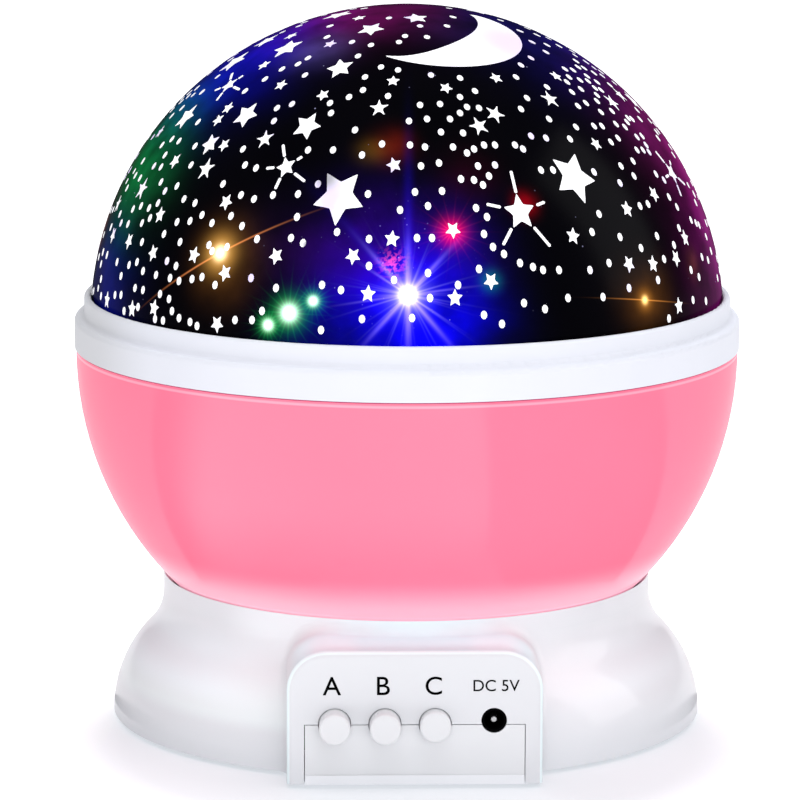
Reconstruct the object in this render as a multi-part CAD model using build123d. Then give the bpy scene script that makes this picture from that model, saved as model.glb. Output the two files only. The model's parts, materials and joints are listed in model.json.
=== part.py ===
from build123d import *
from math import acos, atan2, cos, pi, radians, sin, sqrt, tan
import os

# Rotating star night light. A white base carries a coloured bowl that a small gear motor
# turns; a dark dome with star windows sits in the bowl's white rim and lifts off, and four
# LEDs stand still on a hollow stem in the middle. Three push buttons and a DC socket are in
# a console at the front (-Y), and four AAA cells lie in a bay behind a door underneath.
# Frame: millimetres, +Z up, origin on the surface the feet stand on, on the turning axis.

# ---------------------------------------------------------------- driving dimensions
# Base shell: a foot of large radius flares up to a narrow neck that cups the bowl.
foot_height = 0.8
base_radius = 58.1
neck_radius = 48.1
neck_top_z = 28.8
neck_straight = 3.8
flare_waist_z = 16.9
shell_wall = 2.0

# Console at the front of the base.
console_width = 48.0
console_proud = 3.9
console_roof_drop = 2.6
console_corner = 7.5
console_edge = 1.2
console_blend = 2.4
console_bury = 1.7
panel_wall = 2.0
panel_width = 41.4
panel_seam_z = 12.3
seam_gap = 0.15
sill_height = 1.8
sill_proud = 0.35

# Bottom cover and rubber feet.
cover_thickness = 2.0
cover_gap = 0.3
rubber_foot_radius = 5.0
rubber_foot_recess = 0.6
rubber_foot_gap = 0.1
rubber_foot_round = 0.5
rubber_foot_edge = 5.8
rubber_foot_land = 1.3
column_radius = 3.2
rear_column_x = 38.0
rear_column_y = 12.0
front_column_x = 36.0
front_column_foot_gap = 4.7
cover_screw_radius = 1.1
cover_screw_length = 9.0

# Screws and their heads.
head_radius = 2.0
head_height = 1.2
small_screw_radius = 0.8
small_head_radius = 1.4
screw_hole_gap = 0.05
seat_gap = 0.05
through_gap = 0.2
counterbore_gap = 0.3
screw_tip_gap = 1.0

# Turning bowl.
bowl_radius = 65.0
bowl_wall = 1.8
bowl_neck_gap = 0.4
bowl_sink = 1.8
bowl_floor = 2.0
bowl_top_rise = 0.8
bowl_edge = 0.3
hub_radius = 9.0
hub_height = 11.0
dish_radius_gap = 2.0
thrust_washer_thickness = 0.8
thrust_washer_gap = 0.2
gear_boss_radius = 3.0
gear_boss_height = 5.0
clip_gap = 0.2
clip_thickness = 1.0
clip_bite = 0.6
clip_radius = 8.4
clip_mouth = 7.0
gear_screw_cap = 1.0

# Hollow stem and LED head.
stem_radius = 6.0
stem_wall = 1.8
stem_running_gap = 0.1
stem_flange_radius = 10.5
stem_flange_thickness = 2.0
stem_screw_circle = 7.8
stem_screw_head = 1.5
boss_overhang = 0.5
boss_cap = 1.0
led_board_radius = 12.0
led_board_thickness = 1.6
led_board_rise = 2.4
holder_wall = 2.2
holder_grip = 6.0
holder_disc = 1.2
led_radius = 2.5
led_height = 6.4
led_collar = 0.35
led_collar_height = 1.0
led_circle = 6.0
led_cap_radius = 11.0
led_cap_wall = 1.0
led_cap_straight = 1.5

# White rim ring on top of the bowl.
ring_overhang = 0.3
ring_band = 5.0
ring_edge = 0.9
ring_shoulder = 1.9
ring_lip_rise = 4.2
ring_lip_thickness = 1.4
ring_lip_round = 0.6
ring_flange = 1.6
ring_flange_width = 3.4
ring_skirt = 4.9
ring_skirt_wall = 1.5
ring_skirt_gap = 0.2

# Reflector tray inside the ring.
tray_thickness = 1.2
tray_rim_width = 3.0
tray_drop = 3.2
tray_hole_gap = 1.5
tray_gap = 0.2
tray_collar = 1.2

# Star dome.
dome_radius = 62.2
dome_rise = 5.2
dome_wall = 1.5
dome_skirt_inset = 0.55
dome_skirt_depth = 5.3
dome_seat_width = 0.5
dome_round_height = 1.6

# Gear train: the motor's pinion drives the gear under the bowl.
gear_module = 0.8
turntable_teeth = 60
pinion_teeth = 12
gear_addendum = 0.8
gear_dedendum = 1.15
gear_backlash = 0.16
pressure_angle = 20.0
gear_thickness = 3.0
gear_floor_gap = 1.5
gear_bore_gap = 1.0
gear_screw_circle = 16.0
pinion_top_gap = 0.6

# Gear motor.
gearbox_radius = 11.0
gearbox_height = 8.0
motor_can_radius = 8.5
motor_can_gap = 1.5
motor_shaft_radius = 1.5
motor_shaft_flat = 0.5
motor_shaft_gap = 0.1
motor_shaft_hole = 3.2
motor_ear_reach = 14.0
motor_ear_radius = 3.0
motor_ear_thickness = 1.6
motor_boss_radius = 2.6
motor_boss_height = 2.1
motor_boss_cap = 0.8
motor_can_flat = 7.2
motor_flat_height = 6.0
motor_shaft_fit = 0.02

# Push buttons and their self-locking switches.
button_pitch = 9.4
button_first_x = -15.0
button_radius = 2.95
button_hole_gap = 0.15
button_proud = 4.5
button_edge = 0.5
button_flange = 0.9
button_flange_thickness = 1.0
button_flange_gap = 0.3
button_travel = 2.6
button_latched = 1.8
plunger_width = 2.2
plunger_gap = 0.2
plunger_fit = 0.05
plunger_socket = 5.0
switch_width = 5.8
switch_depth = 7.1
switch_gap = 0.4
switch_floor = 0.8

# DC socket.
socket_x = 14.8
socket_z = 13.0
socket_nose_radius = 2.3
socket_nose_gap = 0.1
socket_nose_set_back = 0.2
socket_body_width = 7.0
socket_bore_radius = 1.85
socket_bore_depth = 9.0
socket_pin_radius = 0.65
socket_pin_set_back = 0.8
socket_pin_round = 0.25
socket_panel_gap = 0.2

# Control board.
board_thickness = 1.6
board_width = 42.0
board_bottom_z = 4.0
board_top_gap = 0.7
bracket_width = 3.0
bracket_thickness = 2.0
bracket_x = 19.4
board_screw_drop = 2.0
chip_size = (5.0, 1.5, 6.2)
chip_from_top = 4.0
capacitor_radius = 2.5
capacitor_length = 6.0
capacitor_edge = 0.4
capacitor_x = -10.0

# AAA cells and their bay.
cell_radius = 5.15
cell_body_length = 43.5
cell_nub_radius = 2.6
cell_nub_length = 1.0
cell_edge_round = 0.4
cell_side_gap = 0.2
cell_pitch = 10.8
cell_count = 4
cell_door_gap = 0.3
cell_roof_gap = 0.35
bay_centre_y = 14.0
bay_wall = 1.5
contact_thickness = 0.3
contact_width = 8.0
spring_length = 4.0
spring_radius = 3.0
spring_wire = 0.3
spring_pitch = 1.15
spring_end_gap = 0.05

# Battery door.
door_thickness = 1.6
door_gap = 0.2
door_ledge = 0.75
door_ear_radius = 4.0
door_ear_reach = 5.7
door_boss_height = 6.0
door_screw_length = 6.5
grip_count = 5
grip_width = 1.0
grip_depth = 0.4
grip_half_length = 10.0
grip_from_edge = 4.0

# Internal leads.
lead_radius = 0.6
lead_bend = 3.6
battery_lead_bend = 6.0
battery_lead_x = -15.0
led_lead_start_z = 11.0
led_lead_side = 3.5
led_lead_slant = 4.0
led_lead_turn = 3.0
battery_lead_slant = 3.0
battery_lead_bow = 0.7
battery_lead_run = 8.0
battery_lead_reach = 21.0

# ---------------------------------------------------------------- derived levels and places
shell_bottom_z = foot_height
cover_top_z = shell_bottom_z + cover_thickness
flare_top_z = neck_top_z - neck_straight
console_front_y = -(base_radius + console_proud)
console_back_y = console_bury - sqrt(neck_radius**2 - (console_width / 2) ** 2)
console_roof_z = neck_top_z - console_roof_drop
panel_inner_y = console_front_y + panel_wall

bowl_centre_z = neck_top_z + sqrt((bowl_radius + bowl_neck_gap) ** 2 - neck_radius**2)
bowl_bottom_z = neck_top_z - bowl_sink
bowl_top_z = bowl_centre_z + bowl_top_rise
bowl_inner_radius = bowl_radius - bowl_wall
bowl_floor_z = bowl_bottom_z + bowl_floor
gear_bottom_z = bowl_bottom_z - gear_thickness
gear_screw_seat_z = gear_bottom_z + head_height + screw_hole_gap
dish_floor_z = gear_bottom_z - gear_floor_gap
dish_under_z = dish_floor_z - shell_wall
dish_radius = neck_radius - dish_radius_gap
washer_bottom_z = bowl_bottom_z - thrust_washer_thickness
boss_radius = hub_radius + boss_overhang
stem_inner_radius = stem_radius - stem_wall
hub_bore_radius = stem_radius + stem_running_gap
clip_low_z = bowl_floor_z + hub_height + clip_gap

ring_radius = bowl_radius + ring_overhang
ring_lip_outer = ring_radius - ring_shoulder
ring_lip_inner = ring_lip_outer - ring_lip_thickness
ring_shoulder_z = bowl_top_z + ring_band + ring_edge
ring_lip_top_z = ring_shoulder_z + ring_lip_rise
ring_flange_z = bowl_top_z + ring_flange
dome_centre_z = bowl_centre_z + dome_rise
dome_skirt_radius = ring_lip_inner - dome_skirt_inset
dome_seat_z = ring_lip_top_z - dome_skirt_depth
ring_seat_radius = dome_skirt_radius - dome_seat_width
led_board_z = bowl_top_z + led_board_rise

pitch_sum = gear_module * (turntable_teeth + pinion_teeth) / 2
motor_y = -pitch_sum
gearbox_bottom_z = dish_under_z - gearbox_height
pinion_bottom_z = dish_floor_z + pinion_top_gap
pinion_top_z = bowl_bottom_z - pinion_top_gap

flange_front_y = panel_inner_y + button_flange_gap
flange_back_y = flange_front_y + button_flange_thickness
switch_front_y = flange_back_y + button_travel + switch_gap
board_front_y = switch_front_y + switch_depth
board_back_y = board_front_y + board_thickness
board_top_z = dish_under_z - board_top_gap
button_names = ("a", "b", "c")
button_x = {n: button_first_x + i * button_pitch for i, n in enumerate(button_names)}
button_inset = {"a": 0.0, "b": 0.0, "c": button_latched}

bay_half_length = contact_thickness + (cell_body_length + cell_nub_length + spring_length) / 2
bay_half_width = cell_count * cell_pitch / 2 + cell_side_gap
door_top_z = shell_bottom_z + door_thickness
cell_z = door_top_z + cell_door_gap + cell_radius
bay_roof_z = cell_z + cell_radius + cell_roof_gap
door_screw_y = bay_centre_y + bay_half_width + door_ear_reach

cover_radius = base_radius - shell_wall - cover_gap
foot_reach = cover_radius - rubber_foot_edge - rubber_foot_radius
door_edge_x = bay_half_length + door_ledge + door_gap
foot_x = door_edge_x + rubber_foot_land + rubber_foot_gap + rubber_foot_radius
foot_y = sqrt(foot_reach**2 - foot_x**2)
rubber_feet_at = [(side * foot_x, end * foot_y) for side in (-1, 1) for end in (-1, 1)]

front_column_y = rubber_foot_radius + head_radius + front_column_foot_gap - foot_y
columns = ((rear_column_x, rear_column_y), (front_column_x, front_column_y))
screw_columns = [(side * x, y) for x, y in columns for side in (-1, 1)]


# ---------------------------------------------------------------- small helpers
def turned(*edges):
    """A solid of revolution about Z from the edges of a closed outline in (radius, height)."""
    return revolve(Plane.XZ * make_face(edges), Axis.Z)


def turned_polygon(*points):
    """A solid of revolution from a closed outline of straight lines in (radius, height)."""
    return turned(Polyline(*points, close=True))


def post(radius, low, high, x=0.0, y=0.0):
    """An upright cylinder between two heights."""
    return Pos(x, y, (low + high) / 2) * Cylinder(radius, high - low)


def block(x, y, z):
    """A box from three (low, high) pairs."""
    centre = [(low + high) / 2 for low, high in (x, y, z)]
    return Pos(*centre) * Box(*[high - low for low, high in (x, y, z)])


def rod_y(radius, x, z, front, back):
    """A cylinder along Y between two depths."""
    return Pos(x, (front + back) / 2, z) * Rot(90, 0, 0) * Cylinder(radius, back - front)


def rod_x(radius, low, high, y, z):
    """A cylinder along X between two places."""
    return Pos((low + high) / 2, y, z) * Rot(0, 90, 0) * Cylinder(radius, high - low)


def arc_about(centre, radius, start, end):
    """An arc about a centre in the outline plane, between two angles in radians."""
    middle = (start + end) / 2
    spots = [(centre[0] + radius * cos(a), centre[1] + radius * sin(a)) for a in (start, middle, end)]
    return ThreePointArc(*spots)


def sphere_arc(radius, centre_z, start_z, end_z):
    """The arc of a sphere on the turning axis between two heights."""
    start = atan2(start_z - centre_z, sqrt(max(radius**2 - (start_z - centre_z) ** 2, 0)))
    end = atan2(end_z - centre_z, sqrt(max(radius**2 - (end_z - centre_z) ** 2, 0)))
    return arc_about((0, centre_z), radius, start, end)


def radius_at(radius, centre_z, z):
    """How far from the axis a sphere of this radius is at a height."""
    return sqrt(radius**2 - (z - centre_z) ** 2)


def screw(radius, length, x, y, head_z, head=head_radius):
    """An upright screw driven from below: its head's top face is at head_z."""
    return post(head, head_z - head_height, head_z, x, y) + post(radius, head_z, head_z + length, x, y)


def group(solids):
    """Separate solids that share one node."""
    return Compound(children=[s.solids()[0] if hasattr(s, "solids") else s for s in solids])


# ---------------------------------------------------------------- base shell
def flare_arcs(inset):
    """The flared side, moved in by inset: a round foot and a hollow throat that meet in a tangent."""
    width = base_radius - neck_radius
    height = flare_top_z - shell_bottom_z
    lean = 2 * atan2(width, height)
    foot_round = (flare_waist_z - shell_bottom_z) / sin(lean)
    throat_round = height / sin(lean) - foot_round
    foot_centre = (base_radius - foot_round, shell_bottom_z)
    throat_centre = (neck_radius + throat_round, flare_top_z)
    foot = arc_about(foot_centre, foot_round - inset, 0, lean)
    throat = arc_about(throat_centre, throat_round + inset, pi + lean, pi)
    return foot, throat


def flared_body(inset, top_z):
    """The solid inside the flared side up to the neck's top, or up to a lower level."""
    foot, throat = flare_arcs(inset)
    radius = neck_radius - inset
    body = turned(
        Line((0, shell_bottom_z), (base_radius - inset, shell_bottom_z)),
        foot,
        throat,
        Line((radius, flare_top_z), (radius, neck_top_z + 1)),
        Line((radius, neck_top_z + 1), (0, neck_top_z + 1)),
        Line((0, neck_top_z + 1), (0, shell_bottom_z)),
    )
    keep = post(base_radius + 1, shell_bottom_z, top_z)
    return body & keep


def console_block(inset, front_y, roof_z, corner):
    """The console's solid: flat sides and a flat roof with round upper corners."""
    half = console_width / 2 - inset
    height = roof_z - shell_bottom_z
    outline = Plane.XZ * Pos(0, shell_bottom_z + height / 2) * Rectangle(2 * half, height)
    upper = outline.vertices().group_by(Axis.Z)[-1]
    outline = fillet(upper, corner)
    return Pos(0, console_back_y, 0) * extrude(outline, console_back_y - front_y)


def panel_openings():
    """Round holes for the buttons and the DC socket, right through the panel's thickness."""
    front, back = console_front_y - 2, panel_inner_y + 1
    holes = [
        rod_y(button_radius + button_hole_gap, x, panel_seam_z, front, back)
        for x in button_x.values()
    ]
    holes.append(rod_y(socket_nose_radius + socket_nose_gap, socket_x, socket_z, front, back))
    return holes


def base_shell():
    outer_console = console_block(0, console_front_y, console_roof_z, console_corner)
    front = outer_console.faces().sort_by(Axis.Y)[0]
    rim = [e for e in front.edges() if e.center().Z > shell_bottom_z + 0.01]
    outer_console = fillet(rim, console_edge)
    flared = flared_body(0, neck_top_z + 1)
    shell = flared + outer_console
    corners = new_edges(flared, outer_console, combined=shell)
    corners = [e for e in corners if e.center().Z > shell_bottom_z + 0.01]
    shell = fillet(corners, min(console_blend, console_roof_drop))

    hollow = flared_body(shell_wall, dish_under_z)
    roof_z = console_roof_z - shell_wall
    console_hollow = console_block(shell_wall, panel_inner_y, roof_z, console_corner - shell_wall)
    console_hollow -= post(neck_radius, dish_under_z, neck_top_z)
    shell = shell - hollow - console_hollow

    cup = Pos(0, 0, bowl_centre_z) * Sphere(bowl_radius + bowl_neck_gap)
    above_floor = post(base_radius, dish_floor_z, neck_top_z + 2)
    shell -= post(dish_radius, dish_floor_z, neck_top_z) + (cup & above_floor)

    shell += post(boss_radius, dish_under_z, washer_bottom_z)
    shell -= post(stem_radius + screw_hole_gap, dish_under_z - 1, washer_bottom_z + 1)
    for x, y in screw_columns:
        shell += post(column_radius, cover_top_z, dish_under_z, x, y)
        hole_top = cover_top_z + cover_screw_length
        shell -= post(cover_screw_radius + screw_hole_gap, cover_top_z, hole_top, x, y)
    for x in (-motor_ear_reach, motor_ear_reach):
        top = dish_floor_z + motor_boss_height
        shell += post(motor_boss_radius, dish_floor_z, top, x, motor_y)
        shell -= post(small_screw_radius + screw_hole_gap, dish_under_z, top - motor_boss_cap, x, motor_y)
    for x, y in stem_screw_spots():
        hole_top = washer_bottom_z - boss_cap
        shell -= post(small_screw_radius + screw_hole_gap, dish_under_z, hole_top, x, y)
    shell -= post(motor_shaft_hole, dish_under_z - 1, dish_floor_z + 1, 0, motor_y)

    half = panel_width / 2
    shell -= block(
        (-half, half), (console_front_y - 1, panel_inner_y + 1), (shell_bottom_z - 1, panel_seam_z)
    )
    for hole in panel_openings():
        shell -= hole
    return shell


# ---------------------------------------------------------------- bottom cover and what it carries
def bottom_cover():
    half = panel_width / 2 - seam_gap
    inner_half = console_width / 2 - shell_wall - seam_gap
    plate = (shell_bottom_z, cover_top_z)
    cover = post(cover_radius, *plate)
    cover += block((-inner_half, inner_half), (panel_inner_y + seam_gap, -base_radius / 2), plate)
    sill_y = (console_front_y - sill_proud, panel_inner_y + 1)
    cover += block((-half, half), sill_y, (shell_bottom_z, shell_bottom_z + sill_height))
    upstand_z = (shell_bottom_z, panel_seam_z - seam_gap)
    cover += block((-half, half), (console_front_y, panel_inner_y), upstand_z)
    for hole in panel_openings():
        cover -= hole

    for x in (-bracket_x, bracket_x):
        sides = (x - bracket_width / 2, x + bracket_width / 2)
        depth = (board_back_y, board_back_y + bracket_thickness)
        cover += block(sides, depth, (shell_bottom_z, board_top_z))
        hole_z = board_top_z - board_screw_drop
        cover -= rod_y(small_screw_radius + screw_hole_gap, x, hole_z, board_back_y - 1, depth[1] + 1)

    y_low, y_high = bay_centre_y - bay_half_width, bay_centre_y + bay_half_width
    outer_x = (-bay_half_length - bay_wall, bay_half_length + bay_wall)
    outer_y = (y_low - bay_wall, y_high + bay_wall)
    cover += block(outer_x, outer_y, (shell_bottom_z, bay_roof_z + bay_wall))
    cover -= block(
        (-bay_half_length, bay_half_length), (y_low, y_high), (shell_bottom_z - 1, bay_roof_z)
    )
    cover += post(column_radius, shell_bottom_z, cover_top_z + door_boss_height, 0, door_screw_y)
    cover -= door_plate(door_gap, door_thickness + door_gap / 2)
    hole_top = shell_bottom_z + door_screw_length + screw_tip_gap
    cover -= post(cover_screw_radius + screw_hole_gap, 0, hole_top, 0, door_screw_y)

    for x, y in rubber_feet_at:
        cover -= post(rubber_foot_radius + rubber_foot_gap, 0, shell_bottom_z + rubber_foot_recess, x, y)
    for x, y in screw_columns:
        cover -= post(cover_screw_radius + through_gap, 0, cover_top_z + 1, x, y)
        cover -= post(head_radius + counterbore_gap, 0, shell_bottom_z + head_height, x, y)
    return cover


def door_plate(gap, thickness):
    """The battery door's outline, grown by gap, with the screw's round ear at its rear edge."""
    low, high = bay_centre_y - bay_half_width - door_ledge, bay_centre_y + bay_half_width + door_ledge
    half = bay_half_length + door_ledge + gap
    levels = (shell_bottom_z, shell_bottom_z + thickness)
    plate = block((-half, half), (low - gap, high + gap), levels)
    ear = door_ear_radius + gap
    plate += block((-ear, ear), (bay_centre_y, door_screw_y), levels)
    return plate + post(ear, *levels, 0, door_screw_y)


def battery_door():
    door = door_plate(0, door_thickness)
    door -= post(cover_screw_radius + through_gap, 0, door_top_z + 1, 0, door_screw_y)
    door -= post(head_radius + through_gap, 0, shell_bottom_z + head_height, 0, door_screw_y)
    for i in range(grip_count):
        y = bay_centre_y - bay_half_width + grip_from_edge + 2 * grip_width * i
        groove_z = (0, shell_bottom_z + grip_depth)
        door -= block((-grip_half_length, grip_half_length), (y, y + grip_width), groove_z)
    return door


def battery_door_screw():
    head_z = shell_bottom_z + head_height
    return screw(cover_screw_radius, door_screw_length - head_height, 0, door_screw_y, head_z)


def rubber_foot(x, y):
    foot = post(rubber_foot_radius, 0, shell_bottom_z + rubber_foot_recess, x, y)
    return fillet(foot.edges().group_by(Axis.Z)[0], rubber_foot_round)


def cover_screws():
    head_z = shell_bottom_z + head_height
    length = cover_top_z - head_z + cover_screw_length - screw_tip_gap
    return group([screw(cover_screw_radius, length, x, y, head_z) for x, y in screw_columns])


# ---------------------------------------------------------------- cells and contacts
def cell_ends(i):
    """Cell i's Y place and the side its raised end points to: +1 or -1 along X."""
    y = bay_centre_y + (i - (cell_count - 1) / 2) * cell_pitch
    return y, (1 if i % 2 else -1)


def battery_cell(i):
    y, way = cell_ends(i)
    nub_x = way * (bay_half_length - contact_thickness)
    shoulder_x = nub_x - way * cell_nub_length
    flat_x = shoulder_x - way * cell_body_length
    can = rod_x(cell_radius, min(shoulder_x, flat_x), max(shoulder_x, flat_x), y, cell_z)
    can = fillet(can.edges(), cell_edge_round)
    nub = rod_x(cell_nub_radius, min(nub_x, shoulder_x), max(nub_x, shoulder_x), y, cell_z)
    return can + nub


def contact_plate(side, cells):
    """One plated strip on a bay end wall, reaching over the given cells."""
    ys = [cell_ends(i)[0] for i in cells]
    wall_x = side * bay_half_length
    x = sorted((wall_x, wall_x - side * contact_thickness))
    half = contact_width / 2
    return block(x, (min(ys) - half, max(ys) + half), (cell_z - half, cell_z + half))


def battery_contacts():
    """Plates that join the cells in series: each side's inner pairs, then the two free ends."""
    last = cell_count - 1
    right = [contact_plate(1, (i, i + 1)) for i in range(0, last, 2)]
    left = [contact_plate(-1, (i, i + 1)) for i in range(1, last, 2)]
    return group(right + left + [contact_plate(-1, (0,)), contact_plate(-1, (last,))])


def battery_springs():
    springs = []
    for i in range(cell_count):
        y, way = cell_ends(i)
        plate_x = -way * (bay_half_length - contact_thickness)
        reach = spring_length - 2 * (spring_wire + spring_end_gap)
        start_x = plate_x + way * (spring_wire + spring_end_gap)
        centre = (start_x, y, cell_z)
        path = Helix(spring_pitch, reach, spring_radius, center=centre, direction=(way, 0, 0))
        wire = Plane(origin=path @ 0, z_dir=path % 0) * Circle(spring_wire)
        springs.append(sweep(wire, path=path, is_frenet=True))
    return group(springs)


# ---------------------------------------------------------------- control board, switches, buttons
def control_board():
    half = board_width / 2
    board = block((-half, half), (board_front_y, board_back_y), (board_bottom_z, board_top_z))
    for x in (-bracket_x, bracket_x):
        hole_z = board_top_z - board_screw_drop
        board -= rod_y(small_screw_radius + through_gap, x, hole_z, board_front_y - 1, board_back_y + 1)
    return board


def board_screws():
    hole_z = board_top_z - board_screw_drop
    made = []
    for x in (-bracket_x, bracket_x):
        head = rod_y(small_head_radius, x, hole_z, board_front_y - head_height, board_front_y)
        shank = rod_y(small_screw_radius, x, hole_z, board_front_y, board_back_y + bracket_thickness)
        made.append(head + shank)
    return group(made)


def control_chip():
    width, depth, height = chip_size
    top = board_top_z - chip_from_top
    return block((-width / 2, width / 2), (board_back_y, board_back_y + depth), (top - height, top))


def smoothing_capacitor():
    z = board_bottom_z + 1 + capacitor_radius
    can = rod_y(capacitor_radius, capacitor_x, z, board_back_y, board_back_y + capacitor_length)
    return fillet(can.edges().sort_by(Axis.Y)[-1], capacitor_edge)


def switch_body(name):
    half = switch_width / 2
    x = button_x[name]
    bore = plunger_width / 2 + plunger_gap
    z = (panel_seam_z - half, panel_seam_z + half)
    body = block((x - half, x + half), (switch_front_y, board_front_y), z)
    return body - block(
        (x - bore, x + bore),
        (switch_front_y - 1, board_front_y - switch_floor),
        (panel_seam_z - bore, panel_seam_z + bore),
    )


def button_cap(name):
    x, inset = button_x[name], button_inset[name]
    front = console_front_y - button_proud
    cap = rod_y(button_radius, x, panel_seam_z, front, flange_back_y)
    cap = fillet(cap.edges().sort_by(Axis.Y)[0], button_edge)
    cap += rod_y(button_radius + button_flange, x, panel_seam_z, flange_front_y, flange_back_y)
    socket = plunger_width / 2 + plunger_fit
    cap -= block(
        (x - socket, x + socket),
        (flange_back_y - plunger_socket, flange_back_y + 1),
        (panel_seam_z - socket, panel_seam_z + socket),
    )
    return Pos(0, inset, 0) * cap


def switch_plunger(name):
    x, inset = button_x[name], button_inset[name]
    half = plunger_width / 2
    tip_y = board_front_y - switch_floor - button_travel - switch_gap
    depth = (flange_back_y - plunger_socket, tip_y)
    stick = block((x - half, x + half), depth, (panel_seam_z - half, panel_seam_z + half))
    return Pos(0, inset, 0) * stick


def dc_socket_body():
    half = socket_body_width / 2
    front = console_front_y + socket_nose_set_back
    body = block(
        (socket_x - half, socket_x + half),
        (panel_inner_y + socket_panel_gap, board_front_y),
        (socket_z - half, socket_z + half),
    )
    body += rod_y(socket_nose_radius, socket_x, socket_z, front, panel_inner_y + 1)
    return body - rod_y(socket_bore_radius, socket_x, socket_z, front - 1, front + socket_bore_depth)


def dc_socket_pin():
    front = console_front_y + socket_nose_set_back
    tip = front + socket_pin_set_back
    pin = rod_y(socket_pin_radius, socket_x, socket_z, tip, front + socket_bore_depth)
    return fillet(pin.edges().sort_by(Axis.Y)[0], socket_pin_round)


# ---------------------------------------------------------------- gear motor and gears
def gear_outline(teeth):
    """A spur gear's closed outline: each tooth has two flank arcs through three involute points."""
    pitch = gear_module * teeth / 2
    base = pitch * cos(radians(pressure_angle))
    tip = pitch + gear_addendum * gear_module
    root = pitch - gear_dedendum * gear_module
    angle = radians(pressure_angle)
    pitch_roll = tan(angle) - angle
    half_tooth = pi / (2 * teeth) - gear_backlash / (4 * pitch)

    def flank_angle(radius):
        """Half the tooth's angular thickness at a radius."""
        pressure = acos(min(base / radius, 1.0))
        return half_tooth + pitch_roll - (tan(pressure) - pressure)

    foot = max(base, root + 0.05 * gear_module)
    radii = (foot, (foot + tip) / 2, tip)
    edges = []
    for n in range(teeth):
        middle = 2 * pi * n / teeth
        following = middle + 2 * pi / teeth
        rising = [polar(r, middle - flank_angle(r)) for r in radii]
        falling = [polar(r, middle + flank_angle(r)) for r in radii[::-1]]
        root_in = polar(root, middle - flank_angle(foot))
        root_out = polar(root, middle + flank_angle(foot))
        next_in = polar(root, following - flank_angle(foot))
        edges += [
            Line(root_in, rising[0]),
            ThreePointArc(*rising),
            Line(rising[-1], falling[0]),
            ThreePointArc(*falling),
            Line(falling[-1], root_out),
            Line(root_out, next_in),
        ]
    return make_face(edges)


def polar(radius, angle):
    """A point at an angle in radians."""
    return radius * cos(angle), radius * sin(angle)


def spots_at(radius, *degrees):
    """Places on a circle about the turning axis."""
    return [polar(radius, radians(a)) for a in degrees]


def turntable_gear():
    gear = Pos(0, 0, gear_bottom_z) * extrude(gear_outline(turntable_teeth), gear_thickness)
    gear -= post(boss_radius + gear_bore_gap, gear_bottom_z - 1, bowl_bottom_z + 1)
    for x, y in gear_screw_spots():
        gear -= post(small_screw_radius + through_gap, gear_bottom_z - 1, bowl_bottom_z + 1, x, y)
        gear -= post(head_radius + through_gap, gear_bottom_z - 1, gear_screw_seat_z, x, y)
    return gear


def drive_pinion():
    """The pinion is turned by half a tooth so that a gap faces the turntable's tooth."""
    turn = 90 + 180 / pinion_teeth
    pinion = extrude(gear_outline(pinion_teeth), pinion_top_z - pinion_bottom_z)
    pinion = Pos(0, motor_y, pinion_bottom_z) * Rot(0, 0, turn) * pinion
    return pinion - shaft_solid(pinion_bottom_z - 1, pinion_top_z + 1, motor_shaft_fit)


def shaft_solid(low, high, grow):
    """The motor shaft with its flat, grown by a fit where it is used as a cutter."""
    round_part = post(motor_shaft_radius + grow, low, high, 0, motor_y)
    flat_y = motor_y + motor_shaft_radius - motor_shaft_flat + grow
    reach = 2 * motor_shaft_radius
    return round_part - block((-reach, reach), (flat_y, flat_y + reach), (low - 1, high + 1))


def motor_shaft():
    return shaft_solid(dish_under_z - gearbox_height / 2, pinion_top_z, 0)


def gearbox():
    box = post(gearbox_radius, gearbox_bottom_z, dish_under_z, 0, motor_y)
    ear_z = (dish_under_z - motor_ear_thickness, dish_under_z)
    reach = motor_ear_reach
    box += block((-reach, reach), (motor_y - motor_ear_radius, motor_y + motor_ear_radius), ear_z)
    for x in (-reach, reach):
        box += post(motor_ear_radius, *ear_z, x, motor_y)
        box -= post(small_screw_radius + through_gap, ear_z[0] - 1, dish_under_z + 1, x, motor_y)
    bore_z = dish_under_z - gearbox_height / 2 - motor_shaft_gap
    return box - post(motor_shaft_radius + motor_shaft_gap, bore_z, dish_under_z + 1, 0, motor_y)


def motor_can():
    can = post(motor_can_radius, cover_top_z + motor_can_gap, gearbox_bottom_z, 0, motor_y)
    can = fillet(can.edges().group_by(Axis.Z)[0], 1.0)
    flat_y = (motor_y + motor_can_flat, motor_y + motor_can_radius)
    flat_top = cover_top_z + motor_can_gap + motor_flat_height
    return can - block((-motor_can_radius, motor_can_radius), flat_y, (0, flat_top))


def motor_screws():
    head_z = dish_under_z - motor_ear_thickness
    length = dish_floor_z + motor_boss_height - motor_boss_cap - screw_tip_gap - head_z
    ears = (-motor_ear_reach, motor_ear_reach)
    return group([screw(small_screw_radius, length, x, motor_y, head_z) for x in ears])


# ---------------------------------------------------------------- stem and LED head
def stem_screw_spots():
    return spots_at(stem_screw_circle, 30, 150, 270)


def led_stem():
    low = dish_under_z - stem_flange_thickness
    stem = post(stem_radius, low, led_board_z - holder_disc)
    stem += post(stem_flange_radius, low, dish_under_z)
    stem -= post(stem_inner_radius, low - 1, led_board_z + 1)
    groove = post(stem_radius + 1, clip_low_z - seat_gap, clip_low_z + clip_thickness + seat_gap)
    stem -= groove - post(stem_radius - clip_bite, clip_low_z - 1, clip_low_z + clip_thickness + 1)
    for x, y in stem_screw_spots():
        stem -= post(small_screw_radius + through_gap, low - 1, dish_under_z + seat_gap, x, y)
    return stem


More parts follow.
